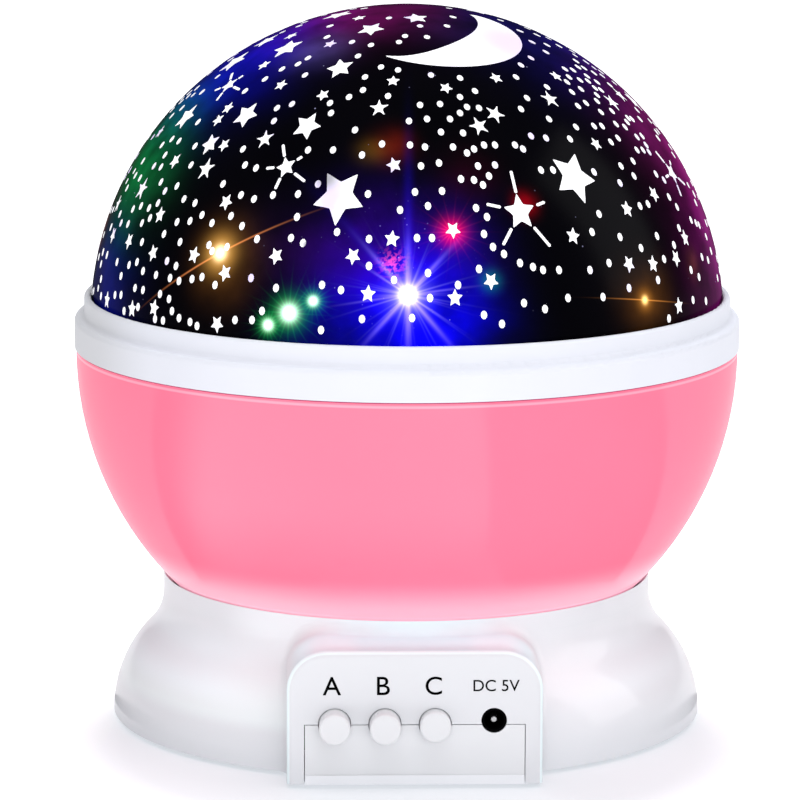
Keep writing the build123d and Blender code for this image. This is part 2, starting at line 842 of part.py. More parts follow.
def stem_screws():
    head_z = dish_under_z - stem_flange_thickness
    length = washer_bottom_z - boss_cap - screw_tip_gap / 2 - head_z
    spots = stem_screw_spots()
    return group([screw(small_screw_radius, length, x, y, head_z, stem_screw_head) for x, y in spots])


def stem_clip():
    """The open ring that snaps into the stem's groove and keeps the bowl from lifting off."""
    ring = post(clip_radius, clip_low_z, clip_low_z + clip_thickness)
    ring -= post(stem_radius - clip_bite + seat_gap, clip_low_z - 1, clip_low_z + clip_thickness + 1)
    mouth = (-clip_mouth / 2, clip_mouth / 2)
    return ring - block(mouth, (0, 2 * clip_radius), (clip_low_z - 1, clip_low_z + clip_thickness + 1))


def thrust_washer():
    ring = post(boss_radius - thrust_washer_gap, washer_bottom_z, bowl_bottom_z)
    return ring - post(stem_radius + thrust_washer_gap, washer_bottom_z - 1, bowl_bottom_z + 1)


def led_holder():
    low = led_board_z - holder_grip
    bore = stem_radius + seat_gap
    cup = post(bore + holder_wall, low, led_board_z)
    cup += post(led_board_radius, led_board_z - holder_disc, led_board_z)
    cup -= post(bore, low - 1, led_board_z - holder_disc)
    return cup - post(stem_inner_radius, low - 1, led_board_z + 1)


def led_board():
    return post(led_board_radius, led_board_z, led_board_z + led_board_thickness)


def led(angle):
    x, y = polar(led_circle, radians(angle))
    low = led_board_z + led_board_thickness
    body = post(led_radius, low, low + led_height - led_radius, x, y)
    body += Pos(x, y, low + led_height - led_radius) * Sphere(led_radius)
    return body + post(led_radius + led_collar, low, low + led_collar_height, x, y)


def led_cap():
    low = led_board_z + led_board_thickness
    ball_z = low + led_cap_straight
    outer = post(led_cap_radius, low, ball_z) + Pos(0, 0, ball_z) * Sphere(led_cap_radius)
    inside = led_cap_radius - led_cap_wall
    inner = post(inside, low - 1, ball_z) + Pos(0, 0, ball_z) * Sphere(inside)
    keep = post(led_cap_radius + 1, low, low + 2 * led_cap_radius)
    return (outer - inner) & keep


# ---------------------------------------------------------------- bowl, ring, tray, dome
def gear_screw_spots():
    return spots_at(gear_screw_circle, 90, 210, 330)


def bowl():
    outer_low = radius_at(bowl_radius, bowl_centre_z, bowl_bottom_z)
    inner_low = radius_at(bowl_inner_radius, bowl_centre_z, bowl_floor_z)
    outer_high = radius_at(bowl_radius, bowl_centre_z, bowl_top_z - bowl_edge)
    inner_high = radius_at(bowl_inner_radius, bowl_centre_z, bowl_top_z)
    hub_top_z = bowl_floor_z + hub_height
    shell = turned(
        Line((hub_bore_radius, bowl_bottom_z), (outer_low, bowl_bottom_z)),
        sphere_arc(bowl_radius, bowl_centre_z, bowl_bottom_z, bowl_top_z - bowl_edge),
        Line((outer_high, bowl_top_z - bowl_edge), (outer_high - bowl_edge, bowl_top_z)),
        Line((outer_high - bowl_edge, bowl_top_z), (inner_high, bowl_top_z)),
        sphere_arc(bowl_inner_radius, bowl_centre_z, bowl_top_z, bowl_floor_z),
        Line((inner_low, bowl_floor_z), (hub_radius, bowl_floor_z)),
        Line((hub_radius, bowl_floor_z), (hub_radius, hub_top_z)),
        Line((hub_radius, hub_top_z), (hub_bore_radius, hub_top_z)),
        Line((hub_bore_radius, hub_top_z), (hub_bore_radius, bowl_bottom_z)),
    )
    for x, y in gear_screw_spots():
        top = bowl_floor_z + gear_boss_height
        shell += post(gear_boss_radius, bowl_bottom_z, top, x, y)
        hole_radius = small_screw_radius + screw_hole_gap
        shell -= post(hole_radius, bowl_bottom_z - 1, top - gear_screw_cap, x, y)
    return shell


def gear_screws():
    length = bowl_floor_z + gear_boss_height - gear_screw_cap - screw_tip_gap - gear_screw_seat_z
    spots = gear_screw_spots()
    return group([screw(small_screw_radius, length, x, y, gear_screw_seat_z) for x, y in spots])


def rim_ring():
    """The white ring: a straight band, a hollow shoulder, and a lip round the dome's skirt."""
    band_top = bowl_top_z + ring_band
    hollow_z = ring_shoulder_z + ring_shoulder - ring_edge
    skirt_outer = radius_at(bowl_inner_radius, bowl_centre_z, bowl_top_z - ring_skirt) - ring_skirt_gap
    skirt_low = bowl_top_z - ring_skirt
    flange_inner = ring_seat_radius - ring_flange_width
    r = ring_lip_round
    return turned(
        Line((skirt_outer, bowl_top_z), (ring_radius, bowl_top_z)),
        Line((ring_radius, bowl_top_z), (ring_radius, band_top)),
        arc_about((ring_radius - ring_edge, band_top), ring_edge, 0, pi / 2),
        arc_about((ring_radius - ring_edge, hollow_z), ring_shoulder - ring_edge, -pi / 2, -pi),
        Line((ring_lip_outer, hollow_z), (ring_lip_outer, ring_lip_top_z - r)),
        arc_about((ring_lip_outer - r, ring_lip_top_z - r), r, 0, pi / 2),
        Line((ring_lip_outer - r, ring_lip_top_z), (ring_lip_inner + r, ring_lip_top_z)),
        arc_about((ring_lip_inner + r, ring_lip_top_z - r), r, pi / 2, pi),
        Line((ring_lip_inner, ring_lip_top_z - r), (ring_lip_inner, dome_seat_z)),
        Line((ring_lip_inner, dome_seat_z), (ring_seat_radius, dome_seat_z)),
        Line((ring_seat_radius, dome_seat_z), (ring_seat_radius, ring_flange_z)),
        Line((ring_seat_radius, ring_flange_z), (flange_inner, ring_flange_z)),
        Line((flange_inner, ring_flange_z), (flange_inner, bowl_top_z)),
        Line((flange_inner, bowl_top_z), (skirt_outer - ring_skirt_wall, bowl_top_z)),
        Line((skirt_outer - ring_skirt_wall, bowl_top_z), (skirt_outer - ring_skirt_wall, skirt_low)),
        Line((skirt_outer - ring_skirt_wall, skirt_low), (skirt_outer, skirt_low)),
        Line((skirt_outer, skirt_low), (skirt_outer, bowl_top_z)),
    )


def reflector_tray():
    """A shallow white dish: a flat rim on the ring's flange and a cone down to the LED head."""
    rim_outer = ring_seat_radius - tray_gap
    rim_inner = rim_outer - tray_rim_width - 1
    hole = led_board_radius + tray_hole_gap
    low = ring_flange_z - tray_drop
    t = tray_thickness
    return turned_polygon(
        (rim_outer, ring_flange_z),
        (rim_outer, ring_flange_z + t),
        (rim_inner, ring_flange_z + t),
        (hole + t, low + t),
        (hole + t, low + t + tray_collar),
        (hole, low + t + tray_collar),
        (hole, low),
        (rim_inner, ring_flange_z),
    )


def star_dome():
    """A cap of a sphere that turns in at its lower edge to a straight skirt."""
    inner_radius = dome_radius - dome_wall
    edge_z = ring_lip_top_z + dome_round_height / 2
    edge_radius = radius_at(dome_radius, dome_centre_z, edge_z)
    skirt_top = ring_lip_top_z - dome_round_height / 2
    skirt_inner = dome_skirt_radius - dome_wall
    inner_edge_radius = radius_at(inner_radius, dome_centre_z, edge_z)
    top = dome_centre_z + dome_radius
    return turned(
        sphere_arc(dome_radius, dome_centre_z, edge_z, top),
        Line((0, top), (0, top - dome_wall)),
        sphere_arc(inner_radius, dome_centre_z, top - dome_wall, edge_z),
        Line((inner_edge_radius, edge_z), (skirt_inner, skirt_top)),
        Line((skirt_inner, skirt_top), (skirt_inner, dome_seat_z)),
        Line((skirt_inner, dome_seat_z), (dome_skirt_radius, dome_seat_z)),
        Line((dome_skirt_radius, dome_seat_z), (dome_skirt_radius, skirt_top)),
        Line((dome_skirt_radius, skirt_top), (edge_radius, edge_z)),
    )


# ---------------------------------------------------------------- leads
def lead(points, radius):
    """A round lead along straight runs joined by arcs of one radius."""
    path = FilletPolyline(*points, radius=radius) if len(points) > 2 else Line(*points)
    start = Plane(origin=path @ 0, z_dir=path % 0)
    return sweep(start * Circle(lead_radius), path=path)


def led_lead():
    """From the control board, beside the motor and over the cell bay, up inside the stem."""
    under_z = (bay_roof_z + bay_wall + dish_under_z - stem_flange_thickness - head_height) / 2
    side_x = gearbox_radius + led_lead_side
    beside_motor_y = motor_y - gearbox_radius / 3
    past_motor_y = motor_y + gearbox_radius + 1
    return lead(
        [
            (side_x, board_back_y, led_lead_start_z),
            (side_x, beside_motor_y, led_lead_start_z),
            (side_x - led_lead_slant, past_motor_y, under_z),
            (0, -stem_radius - led_lead_turn, under_z),
            (0, 0, under_z),
            (0, 0, led_board_z),
        ],
        lead_bend,
    )


def battery_lead():
    """From the bay's front corner round to the control board."""
    x, z = battery_lead_x, cell_z
    front = bay_centre_y - bay_half_width - bay_wall
    bay_side = x - battery_lead_slant
    turns = [
        (bay_side, front, z),
        (bay_side, front - battery_lead_run, z),
        (x + battery_lead_bow, front - battery_lead_reach, z),
        (x, board_back_y, z),
    ]
    return lead(turns, battery_lead_bend)


def motor_lead():
    z = (cover_top_z + motor_can_gap + gearbox_bottom_z) / 2
    return lead([(0, motor_y - motor_can_radius, z), (0, board_back_y, z)], 1)


# ---------------------------------------------------------------- write every piece
pieces = {
    "base_shell": base_shell,
    "bottom_cover": bottom_cover,
    "cover_screws": cover_screws,
    "battery_door": battery_door,
    "battery_door_screw": battery_door_screw,
    "battery_contacts": battery_contacts,
    "battery_springs": battery_springs,
    "control_board": control_board,
    "board_screws": board_screws,
    "control_chip": control_chip,
    "smoothing_capacitor": smoothing_capacitor,
    "dc_socket_body": dc_socket_body,
    "dc_socket_pin": dc_socket_pin,
    "gearbox": gearbox,
    "motor_can": motor_can,
    "motor_screws": motor_screws,
    "motor_shaft": motor_shaft,
    "drive_pinion": drive_pinion,
    "turntable_gear": turntable_gear,
    "gear_screws": gear_screws,
    "stem_clip": stem_clip,
    "thrust_washer": thrust_washer,
    "led_stem": led_stem,
    "stem_screws": stem_screws,
    "led_holder": led_holder,
    "led_board": led_board,
    "led_cap": led_cap,
    "bowl": bowl,
    "rim_ring": rim_ring,
    "reflector_tray": reflector_tray,
    "star_dome": star_dome,
    "led_lead": led_lead,
    "battery_lead": battery_lead,
    "motor_lead": motor_lead,
}
for colour, angle in zip(("red", "green", "blue", "white"), (45, 135, 225, 315)):
    pieces[f"led_{colour}"] = lambda angle=angle: led(angle)
for n in button_names:
    pieces[f"button_cap_{n}"] = lambda n=n: button_cap(n)
    pieces[f"switch_plunger_{n}"] = lambda n=n: switch_plunger(n)
    pieces[f"switch_body_{n}"] = lambda n=n: switch_body(n)
for i in range(cell_count):
    pieces[f"battery_cell_{i + 1}"] = lambda i=i: battery_cell(i)
for i, spot in enumerate(rubber_feet_at):
    pieces[f"rubber_foot_{i + 1}"] = lambda spot=spot: rubber_foot(*spot)

os.makedirs("parts", exist_ok=True)
for name, make in pieces.items():
    export_step(make(), f"parts/{name}.step")
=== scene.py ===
# %% [markdown]
# # A star night light in its studio
#
# The light is a ball on a flared white foot: a pink bowl, a white rim ring and a dark printed dome
# with clear stars. Its parts arrive packed from CAD at their real size, so this lesson adds what CAD
# leaves out: the printed sky, the marks on the console, a finish for every part, and a small studio.
# Lengths are written in millimetres and turned into metres with MM where they meet Blender.

# %% Load the packed parts
import json
import bmesh
import bpy
import numpy as np
from mathutils import Matrix, Vector


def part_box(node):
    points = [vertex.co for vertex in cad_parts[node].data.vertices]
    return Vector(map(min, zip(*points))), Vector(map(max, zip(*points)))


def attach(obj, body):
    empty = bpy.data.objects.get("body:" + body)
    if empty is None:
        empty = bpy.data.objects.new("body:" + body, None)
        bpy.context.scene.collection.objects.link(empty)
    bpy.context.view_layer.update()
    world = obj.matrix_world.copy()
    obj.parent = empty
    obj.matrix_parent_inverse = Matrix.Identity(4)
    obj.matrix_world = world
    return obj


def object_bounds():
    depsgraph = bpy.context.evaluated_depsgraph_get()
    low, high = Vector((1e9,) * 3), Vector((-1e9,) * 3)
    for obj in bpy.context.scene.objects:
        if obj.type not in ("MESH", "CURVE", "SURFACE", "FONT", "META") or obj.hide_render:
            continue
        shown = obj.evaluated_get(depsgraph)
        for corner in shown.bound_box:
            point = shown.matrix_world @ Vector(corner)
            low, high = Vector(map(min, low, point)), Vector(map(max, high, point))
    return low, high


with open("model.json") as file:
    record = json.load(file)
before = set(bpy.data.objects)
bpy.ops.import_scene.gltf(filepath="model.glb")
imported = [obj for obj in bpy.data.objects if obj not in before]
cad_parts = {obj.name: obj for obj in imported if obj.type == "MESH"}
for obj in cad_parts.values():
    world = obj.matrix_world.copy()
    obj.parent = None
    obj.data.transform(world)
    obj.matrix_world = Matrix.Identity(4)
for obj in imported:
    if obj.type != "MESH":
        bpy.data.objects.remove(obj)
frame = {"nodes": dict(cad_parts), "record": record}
cad_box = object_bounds()
parts = frame["nodes"]
MM = 0.001
low_corner, high_corner = ([round(v, 4) for v in corner] for corner in cad_box)
print(len(parts), "parts, from", low_corner, "to", high_corner)

# %% [markdown]
# ## Camera
#
# A product camera stands far off with a long lens, so that the ball stays round and the base shows
# little perspective. It looks down by ten degrees, which opens the rim ring into a slim ellipse. The
# lens shift puts the turning axis a little off the frame's middle without tilting the camera, which
# would make the sides lean. The same numbers later turn a place in the frame into a place on the dome.

# %% Camera
frame_pixels = 800
focal_pixels = 4883.8
aim_pixel = np.array([406.9, 361.94])
aim_point = np.array([0.0, 0.0, 70.0]) * MM
camera_distance = 962.6 * MM
camera_down = np.radians(10.08)
camera_aside = np.radians(-1.57)
camera_roll = np.radians(0.165)
sensor_width = 36.0

back = np.array([np.sin(camera_aside) * np.cos(camera_down),
                 -np.cos(camera_aside) * np.cos(camera_down),
                 np.sin(camera_down)])
level_right = np.cross(-back, (0, 0, 1))
level_right /= np.linalg.norm(level_right)
level_up = np.cross(back, level_right)
right = np.cos(camera_roll) * level_right + np.sin(camera_roll) * level_up
up = np.cos(camera_roll) * level_up - np.sin(camera_roll) * level_right
eye = aim_point + camera_distance * back

camera_data = bpy.data.cameras.new("product_camera")
camera_data.sensor_width = sensor_width
camera_data.lens = focal_pixels / frame_pixels * sensor_width
camera_data.shift_x = 0.5 - aim_pixel[0] / frame_pixels
camera_data.shift_y = aim_pixel[1] / frame_pixels - 0.5
camera = bpy.data.objects.new("product_camera", camera_data)
bpy.context.scene.collection.objects.link(camera)
turned_axes = np.stack([right, up, back]).T
camera.matrix_world = Matrix([(*row, at) for row, at in zip(turned_axes, eye)] + [(0, 0, 0, 1)])
bpy.context.scene.camera = camera
print("lens", round(camera_data.lens, 1), "mm, camera at", eye.round(3))

# %% [markdown]
# ## Shader maths in plain Python
#
# A finish is a small program of nodes. Written node by node it is hard to read, so a Wire stands for
# one socket and Python's own operators add the Math nodes. Numbers alone are worked out in Python and
# never become nodes. Every other node comes from one method that takes the node's kind, its settings
# and what goes into its sockets.

# %% Wire and node tree
class Wire:
    """One output socket of a node tree, which takes part in Python sums."""

    def __init__(self, tree, socket):
        self.tree = tree
        self.socket = socket

    def math(self, operation, *others):
        """A Math node on this wire and the others."""
        return self.tree.node("ShaderNodeMath", {"operation": operation}, dict(enumerate((self, *others))))

    def __add__(self, other):
        return self.math("ADD", other)

    def __mul__(self, other):
        return self.math("MULTIPLY", other)

    def __sub__(self, other):
        return self.math("SUBTRACT", other)

    def __truediv__(self, other):
        return self.math("DIVIDE", other)

    def __pow__(self, other):
        return self.math("POWER", other)

    def __neg__(self):
        return self * -1.0

    def __rsub__(self, other):
        return -self + other

    __radd__ = __add__
    __rmul__ = __mul__


class NodeTree:
    """The nodes of a material or of the world."""

    def __init__(self, owner):
        owner.use_nodes = True
        self.nodes = owner.node_tree.nodes
        self.links = owner.node_tree.links

    def node(self, kind, settings=None, sockets=None, out=0):
        """Adds one node: its settings first, then a value or a wire for each socket."""
        made = self.nodes.new(kind)
        for key, value in (settings or {}).items():
            setattr(made, key, value)
        for key, value in (sockets or {}).items():
            self.feed(made.inputs[key], value)
        return Wire(self, made.outputs[out])

    def feed(self, socket, value):
        """Links a wire to a socket, or sets the socket's own value."""
        if isinstance(value, Wire):
            self.links.new(value.socket, socket)
        else:
            socket.default_value = value


print("operators:", [name for name in vars(Wire) if name.startswith("__") and name != "__init__"][:9])

# %% [markdown]
# ## A finish and its usual ingredients
#
# A Finish is a Principled shader whose constant values are set on its own sockets, and whose varying
# values come from patterns in the part's own millimetres: clouds, fine grain, bands and soft spots.
# Patterns read Object coordinates, so they stay where they are when a part turns or slides.

# %% Finish
def shade(red, green, blue):
    """A screen colour, 0 to 255 a channel, as the linear colour a shader wants (the sRGB curve)."""
    channel = np.array([red, green, blue]) / 255
    linear = np.where(channel <= 0.04045, channel / 12.92, ((channel + 0.055) / 1.055) ** 2.4)
    return (*linear.tolist(), 1.0)


def dimmed(colour, share):
    """The same colour with its light multiplied by a share."""
    return (*(min(1.0, c * share) for c in colour[:3]), 1.0)


class Finish(NodeTree):
    """A material with one Principled shader; constants go straight onto the shader's sockets."""

    def __init__(self, name, constants=None):
        self.material = bpy.data.materials.new(name)
        super().__init__(self.material)
        self.shader = next(n for n in self.nodes if n.type == "BSDF_PRINCIPLED")
        self.set(constants or {})
        self.place = self.node("ShaderNodeTexCoord", out=3)

    def set(self, sockets):
        """Feeds sockets of the shader by their names."""
        for name, value in sockets.items():
            self.feed(self.shader.inputs[name], value)

    def axis(self, letter):
        """The part's own X, Y or Z in millimetres."""
        return self.node("ShaderNodeSeparateXYZ", None, {0: self.place}, "XYZ".index(letter)) / MM

    def vector(self, operation, sockets, out=0):
        """A Vector Math node on places or colours."""
        return self.node("ShaderNodeVectorMath", {"operation": operation}, sockets, out)

    def distance(self, centre):
        """Millimetres from a point that is given in metres."""
        return self.vector("DISTANCE", {0: self.place, 1: tuple(centre)}, 1) / MM

    def noise(self, size, detail=2.0, place=None):
        """Clouds from 0 to 1 whose lumps are about size millimetres across."""
        sockets = {"Vector": place or self.place, "Scale": 1 / (size * MM), "Detail": detail}
        return self.node("ShaderNodeTexNoise", None, sockets)

    def stretched(self, along):
        """Object coordinates squeezed across the brushing, so that a noise draws out into lines."""
        return self.node("ShaderNodeMapping", None, {"Vector": self.place, "Scale": along})

    def ramp(self, value, low, high):
        """A soft step: 0 at low and 1 at high, smooth between. It falls where high is below low."""
        sockets = {0: value, 1: low, 2: high, 3: 0.0, 4: 1.0}
        return self.node("ShaderNodeMapRange", {"interpolation_type": "SMOOTHSTEP"}, sockets)

    def band(self, value, low, full, fading, high):
        """1 from full to fading, with soft steps down to 0 at low and at high."""
        return self.ramp(value, low, full) * self.ramp(value, high, fading)

    def mix(self, factor, first, second):
        """first where factor is 0 and second where it is 1, for colours."""
        return self.node("ShaderNodeMix", {"data_type": "RGBA"}, {0: factor, 6: first, 7: second}, 2)

    def layers(self, colour, *coats):
        """A colour under coats, each of them a mask and the colour that covers where the mask is 1."""
        for mask, coat in coats:
            colour = self.mix(mask, colour, coat)
        return colour

    def bump(self, height, depth):
        """Dents the surface by height, which runs from 0 to 1, times depth in millimetres."""
        sockets = {"Strength": 1.0, "Distance": depth * MM, "Height": height}
        self.set({"Normal": self.node("ShaderNodeBump", None, sockets)})


print("black print as a shader colour:", [round(c, 4) for c in shade(6, 6, 9)])

# %% [markdown]
# ## Moulded plastic
#
# Every casing here is injection-moulded. A mould leaves three traces that a flat colour lacks: the
# tint drifts slightly over a few centimetres, the polish is uneven, and a very shallow orange peel
# bends the reflections. One function makes all of them, and each part passes its own colour and polish.

# %% Moulded plastic
def moulded(name, colour, roughness=0.22, drift=0.035, cloud=22.0, peel=1.6, depth=0.006,
            coat=0.0, specular=0.5):
    """Plastic whose tint drifts by a share over clouds cloud mm wide, under peel of peel mm by depth mm."""
    finish = Finish(name, {"Coat Weight": coat, "Coat Roughness": 0.06, "Specular IOR Level": specular})
    finish.tone = finish.mix(finish.noise(cloud), dimmed(colour, 1 - drift), dimmed(colour, 1 + drift))
    finish.set({"Base Color": finish.tone})
    finish.set({"Roughness": finish.noise(4 * peel) * 0.08 + (roughness - 0.04)})
    finish.bump(finish.noise(peel, 1.0), depth)
    return finish


plastics = {
    "white_shell": ((218, 220, 223), dict(roughness=0.36, coat=0.2, specular=0.05)),
    "white_cover": ((216, 217, 219), dict(roughness=0.36, coat=0.1, specular=0.05)),
    "white_ring": ((217, 219, 226), dict(roughness=0.2, coat=0.12, specular=0.0)),
    "white_button": ((215, 216, 218), dict(roughness=0.3, coat=0.15, specular=0.05)),
    "white_inner": ((226, 228, 232), dict(roughness=0.38)),
    "reflector_white": ((244, 245, 246), dict(roughness=0.12, coat=0.5)),
    "black_plastic": ((24, 24, 27), dict(roughness=0.42, drift=0.12, peel=0.5, depth=0.01)),
    "socket_black": ((6, 6, 7), dict(roughness=0.5, drift=0.1, peel=0.4, depth=0.008, specular=0.0)),
    "capacitor_sleeve": ((28, 32, 66), dict(roughness=0.3, drift=0.1, peel=0.5)),
    "gear_plastic": ((232, 226, 206), dict(roughness=0.36, drift=0.05, peel=0.6)),
    "rubber_foot": ((54, 54, 58), dict(roughness=0.72, drift=0.12, peel=0.35, depth=0.03, specular=0.3)),
    "wire_red": ((178, 30, 34), dict(roughness=0.4, drift=0.08, peel=0.5)),
}
finishes = {name: moulded(name, shade(*colour), **look) for name, (colour, look) in plastics.items()}
print(len(finishes), "moulded finishes")

# %% [markdown]
# ## Painted light and shade on the whites of the foot, the console and the ring
#
# The foot is one white moulding, and the tints laid on it here are painted light and shade. The bowl
# hangs over the console and its glow would dye the roof and its corners pink, so the white there is
# painted cooler and stays neutral, as painted light. The flare and the shoulders of the foot turn
# towards the light and are painted brighter, and the left end of the ring turns away from it and is
# painted greyer. The console's face is painted a little darker, as painted shade. The edge round the
# console's face is a painted highlight, painted brighter, and so is the cover's sill, which sticks out
# a little below the face. Each tint is a coat over the moulded white, and its mask is a band of
# heights, depths or widths of the part.

# %% Bands of the console and the foot
# Four numbers are a band in mm: where it starts, is full, begins to fade and ends. Two are a ramp.
sill_height, sill_blur = 1.8, 0.1
face_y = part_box("base_shell")[0].y / MM
sill_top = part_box("bottom_cover")[0].z / MM + sill_height
face_depths, rim_depths = (0.3, 0.1), (0.1, 0.3, 0.7, 1.0)
roof_depths, roof_heights = (0.5, 0.8, 10.0, 17.0), (21.0, 26.0)
corner_sides, corner_heights = (9.0, 13.0, 18.0, 23.0), (20.0, 24.0)
flare_heights, flare_side = (7.0, 10.0, 12.0, 20.0), (5.0, -25.0)
shoulder_heights = (10.0, 14.0, 19.0, 25.0)
left_shoulder, right_shoulder, right_share = (-26.0, -42.0), (28.0, 44.0), 0.45
ring_end = (-48.0, -62.0)
print("the console's face is at y", round(face_y, 2), "mm and its sill ends at z", round(sill_top, 2), "mm")

# %% Painted light and shade on the whites
shell, cover, ring = (finishes[name] for name in ("white_shell", "white_cover", "white_ring"))
height, across, inwards = shell.axis("Z"), shell.axis("X"), shell.axis("Y") - face_y
# Painted light: the left flare and the shoulders of the foot are painted brighter.
flare = shell.band(height, *flare_heights) * shell.ramp(across, *flare_side)
shoulder_sides = shell.ramp(across, *left_shoulder) + shell.ramp(across, *right_shoulder) * right_share
shoulder = shell.band(height, *shoulder_heights) * shoulder_sides
# Painted shade: the console's face is painted a little darker.
face = shell.ramp(inwards, *face_depths)
# Painted light: the roof and its corners are painted cooler and brighter, against the bowl's pink glow.
roof = shell.ramp(height, *roof_heights) * shell.band(inwards, *roof_depths)
corner = shell.ramp(height, *corner_heights) * shell.band(inwards, *roof_depths)
corner = corner * shell.band(across.math("ABSOLUTE"), *corner_sides)
# Painted highlight: the edge round the console's face is painted brighter.
rim_highlight = shell.band(inwards, *rim_depths)
# The painted light and shade, laid in this order over the moulded white.
painted_light_tints = [(flare, (226, 232, 233)), (shoulder, (232, 240, 243)), (face, (213, 214, 217)),
         (roof, (204, 235, 238)), (corner, (212, 236, 239)), (rim_highlight, (228, 240, 242))]
shell.set({"Base Color": shell.layers(shell.tone, *((mask, shade(*tint)) for mask, tint in painted_light_tints))})

# Painted highlight: the cover's sill is painted brighter.
sill = cover.ramp(cover.axis("Z"), sill_top + sill_blur, sill_top - sill_blur)
cover.set({"Base Color": cover.mix(sill, cover.tone, shade(227, 228, 231))})
# Painted shade: the left end of the ring is painted greyer.
end = ring.ramp(ring.axis("X"), *ring_end)
ring.set({"Base Color": ring.mix(end, ring.tone, shade(202, 203, 206))})
print(len(painted_light_tints), "tints on the shell, one on the cover and one on the ring")

# %% [markdown]
# ## Pink bowl
#
# The bowl is the same plastic in rose pink, with four differences. It is glossier. It is painted paler
# towards its foot, a painted reflection of the white base that shines up into it. Its top edge is a
# thin plum line of painted shade, where the rim ring shades it, over a thin pale line of painted
# highlight, where the rounded lip of the moulding catches the light. And where it meets the neck it
# has a painted glow in a narrow line, which lifts the dark shade at the seam; without it the seam
# would be a dark gap. The heights come from the boxes of the bowl and the base, so they follow the
# parts.

# %% Pink bowl
bowl_low, bowl_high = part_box("bowl")
bowl_foot = bowl_low.z / MM
bowl_seam = bowl_high.z / MM
neck_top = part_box("base_shell")[1].z / MM
rose = shade(255, 120, 147)
pale_rose = shade(255, 190, 206)
plum = shade(120, 52, 110)
unlit, painted_seam_glow = shade(0, 0, 0), shade(255, 203, 220)
paling_height = 11.0
seam_line = 0.35
lip_steps, lip_share = (-1.3, -0.95, -0.85, -0.5), 0.5
gap_steps = (-2.0, -1.0, 0.2, 0.9)

pink = Finish("pink_bowl", {"Coat Weight": 0.36, "Coat Roughness": 0.12, "Specular IOR Level": 0.0,
                            "Emission Strength": 0.3})
height = pink.axis("Z")
clouded = pink.mix(pink.noise(26.0), dimmed(rose, 0.97), dimmed(rose, 1.03))
# Painted reflection: the bowl is painted paler towards its foot.
foot_reflection = pink.ramp(height, bowl_foot + paling_height, bowl_foot + 1)
# Painted highlight on the lip, then painted shade under the ring.
lip_highlight = pink.band(height, *(bowl_seam + step for step in lip_steps)) * lip_share
shaded = pink.ramp(height, bowl_seam - seam_line, bowl_seam)
# Painted glow: a narrow band of emission along the seam with the neck, where the seam would be in dark shade.
gap = pink.band(height, *(neck_top + step for step in gap_steps))
pink.set({"Base Color": pink.layers(clouded, (foot_reflection, pale_rose), (lip_highlight, pale_rose), (shaded, plum)),
          "Emission Color": pink.mix(gap, unlit, painted_seam_glow),
          "Roughness": pink.noise(7.0) * 0.06 + 0.2})
pink.bump(pink.noise(2.2, 1.0), 0.004)
finishes["pink_bowl"] = pink
print("the bowl pales below", round(bowl_foot + paling_height, 1), "mm and meets the ring at",
      round(bowl_seam, 1), "mm")

# %% [markdown]
# ## Metals
#
# Screws, springs, contacts and the motor's can are steel inside the base. Brushed or drawn steel has
# fine lines along the way it was worked. A noise gives such lines when its coordinates are squeezed
# across them, and the same lines then drive the colour, the polish and the relief.

# %% Metals
def brushed(name, colour, roughness, along, line):
    """Metal with lines line mm apart; along holds a small scale on the axis the lines follow."""
    finish = Finish(name, {"Metallic": 1.0})
    lines = finish.noise(line, 3.0, finish.stretched(along))
    finish.set({"Base Color": finish.mix(lines, dimmed(colour, 0.86), dimmed(colour, 1.08))})
    finish.set({"Roughness": lines * 0.16 + (roughness - 0.08)})
    finish.bump(lines, 0.004)
    return finish


metals = {
    "screw_steel": ((196, 198, 202), 0.28, (1.0, 1.0, 0.15), 0.5),
    "spring_steel": ((204, 206, 210), 0.24, (0.3, 1.0, 1.0), 0.4),
    "motor_steel": ((178, 182, 188), 0.30, (1.0, 1.0, 0.08), 0.9),
    "contact_plate": ((214, 212, 200), 0.22, (1.0, 0.12, 1.0), 0.9),
    "socket_pin": ((156, 156, 159), 0.4, (1.0, 0.2, 1.0), 0.3),
}
for name, (colour, *look) in metals.items():
    finishes[name] = brushed(name, shade(*colour), *look)
print("metals:", list(metals))

# %% [markdown]
# ## Circuit boards
#
# A board is green lacquer over copper, and the tracks show as a paler green that stands a little
# proud. Cells of a Voronoi pattern with square distances have rims that turn at right angles, as
# tracks do, so one thin band of that distance is enough to draw them.

# %% Circuit boards
track_pitch = 2.4
track_band = (0.34, 0.38, 0.46, 0.50)
board = Finish("circuit_board", {"Coat Weight": 0.4, "Coat Roughness": 0.12})
tracks = board.node("ShaderNodeTexVoronoi", {"distance": "CHEBYCHEV", "feature": "F1"},
                    {"Vector": board.place, "Scale": 1 / (track_pitch * MM), "Randomness": 0.6})
copper = board.band(tracks, *track_band)
lacquer = board.mix(board.noise(9.0), shade(12, 78, 44), shade(18, 96, 54))
board.set({"Base Color": board.mix(copper, lacquer, shade(46, 138, 76)),
           "Roughness": board.noise(3.0) * 0.1 + 0.3})
board.bump(copper, 0.03)
finishes["circuit_board"] = board
print("board tracks every", track_pitch, "mm")

# %% [markdown]
# ## Cells
#
# A cell is a steel can in a printed sleeve, bare at its two ends, with a coloured band near the plus
# end. The cells lie along X and share one finish, so the distance from the middle tells sleeve from
# bare metal, and the same mask makes the ends metallic.

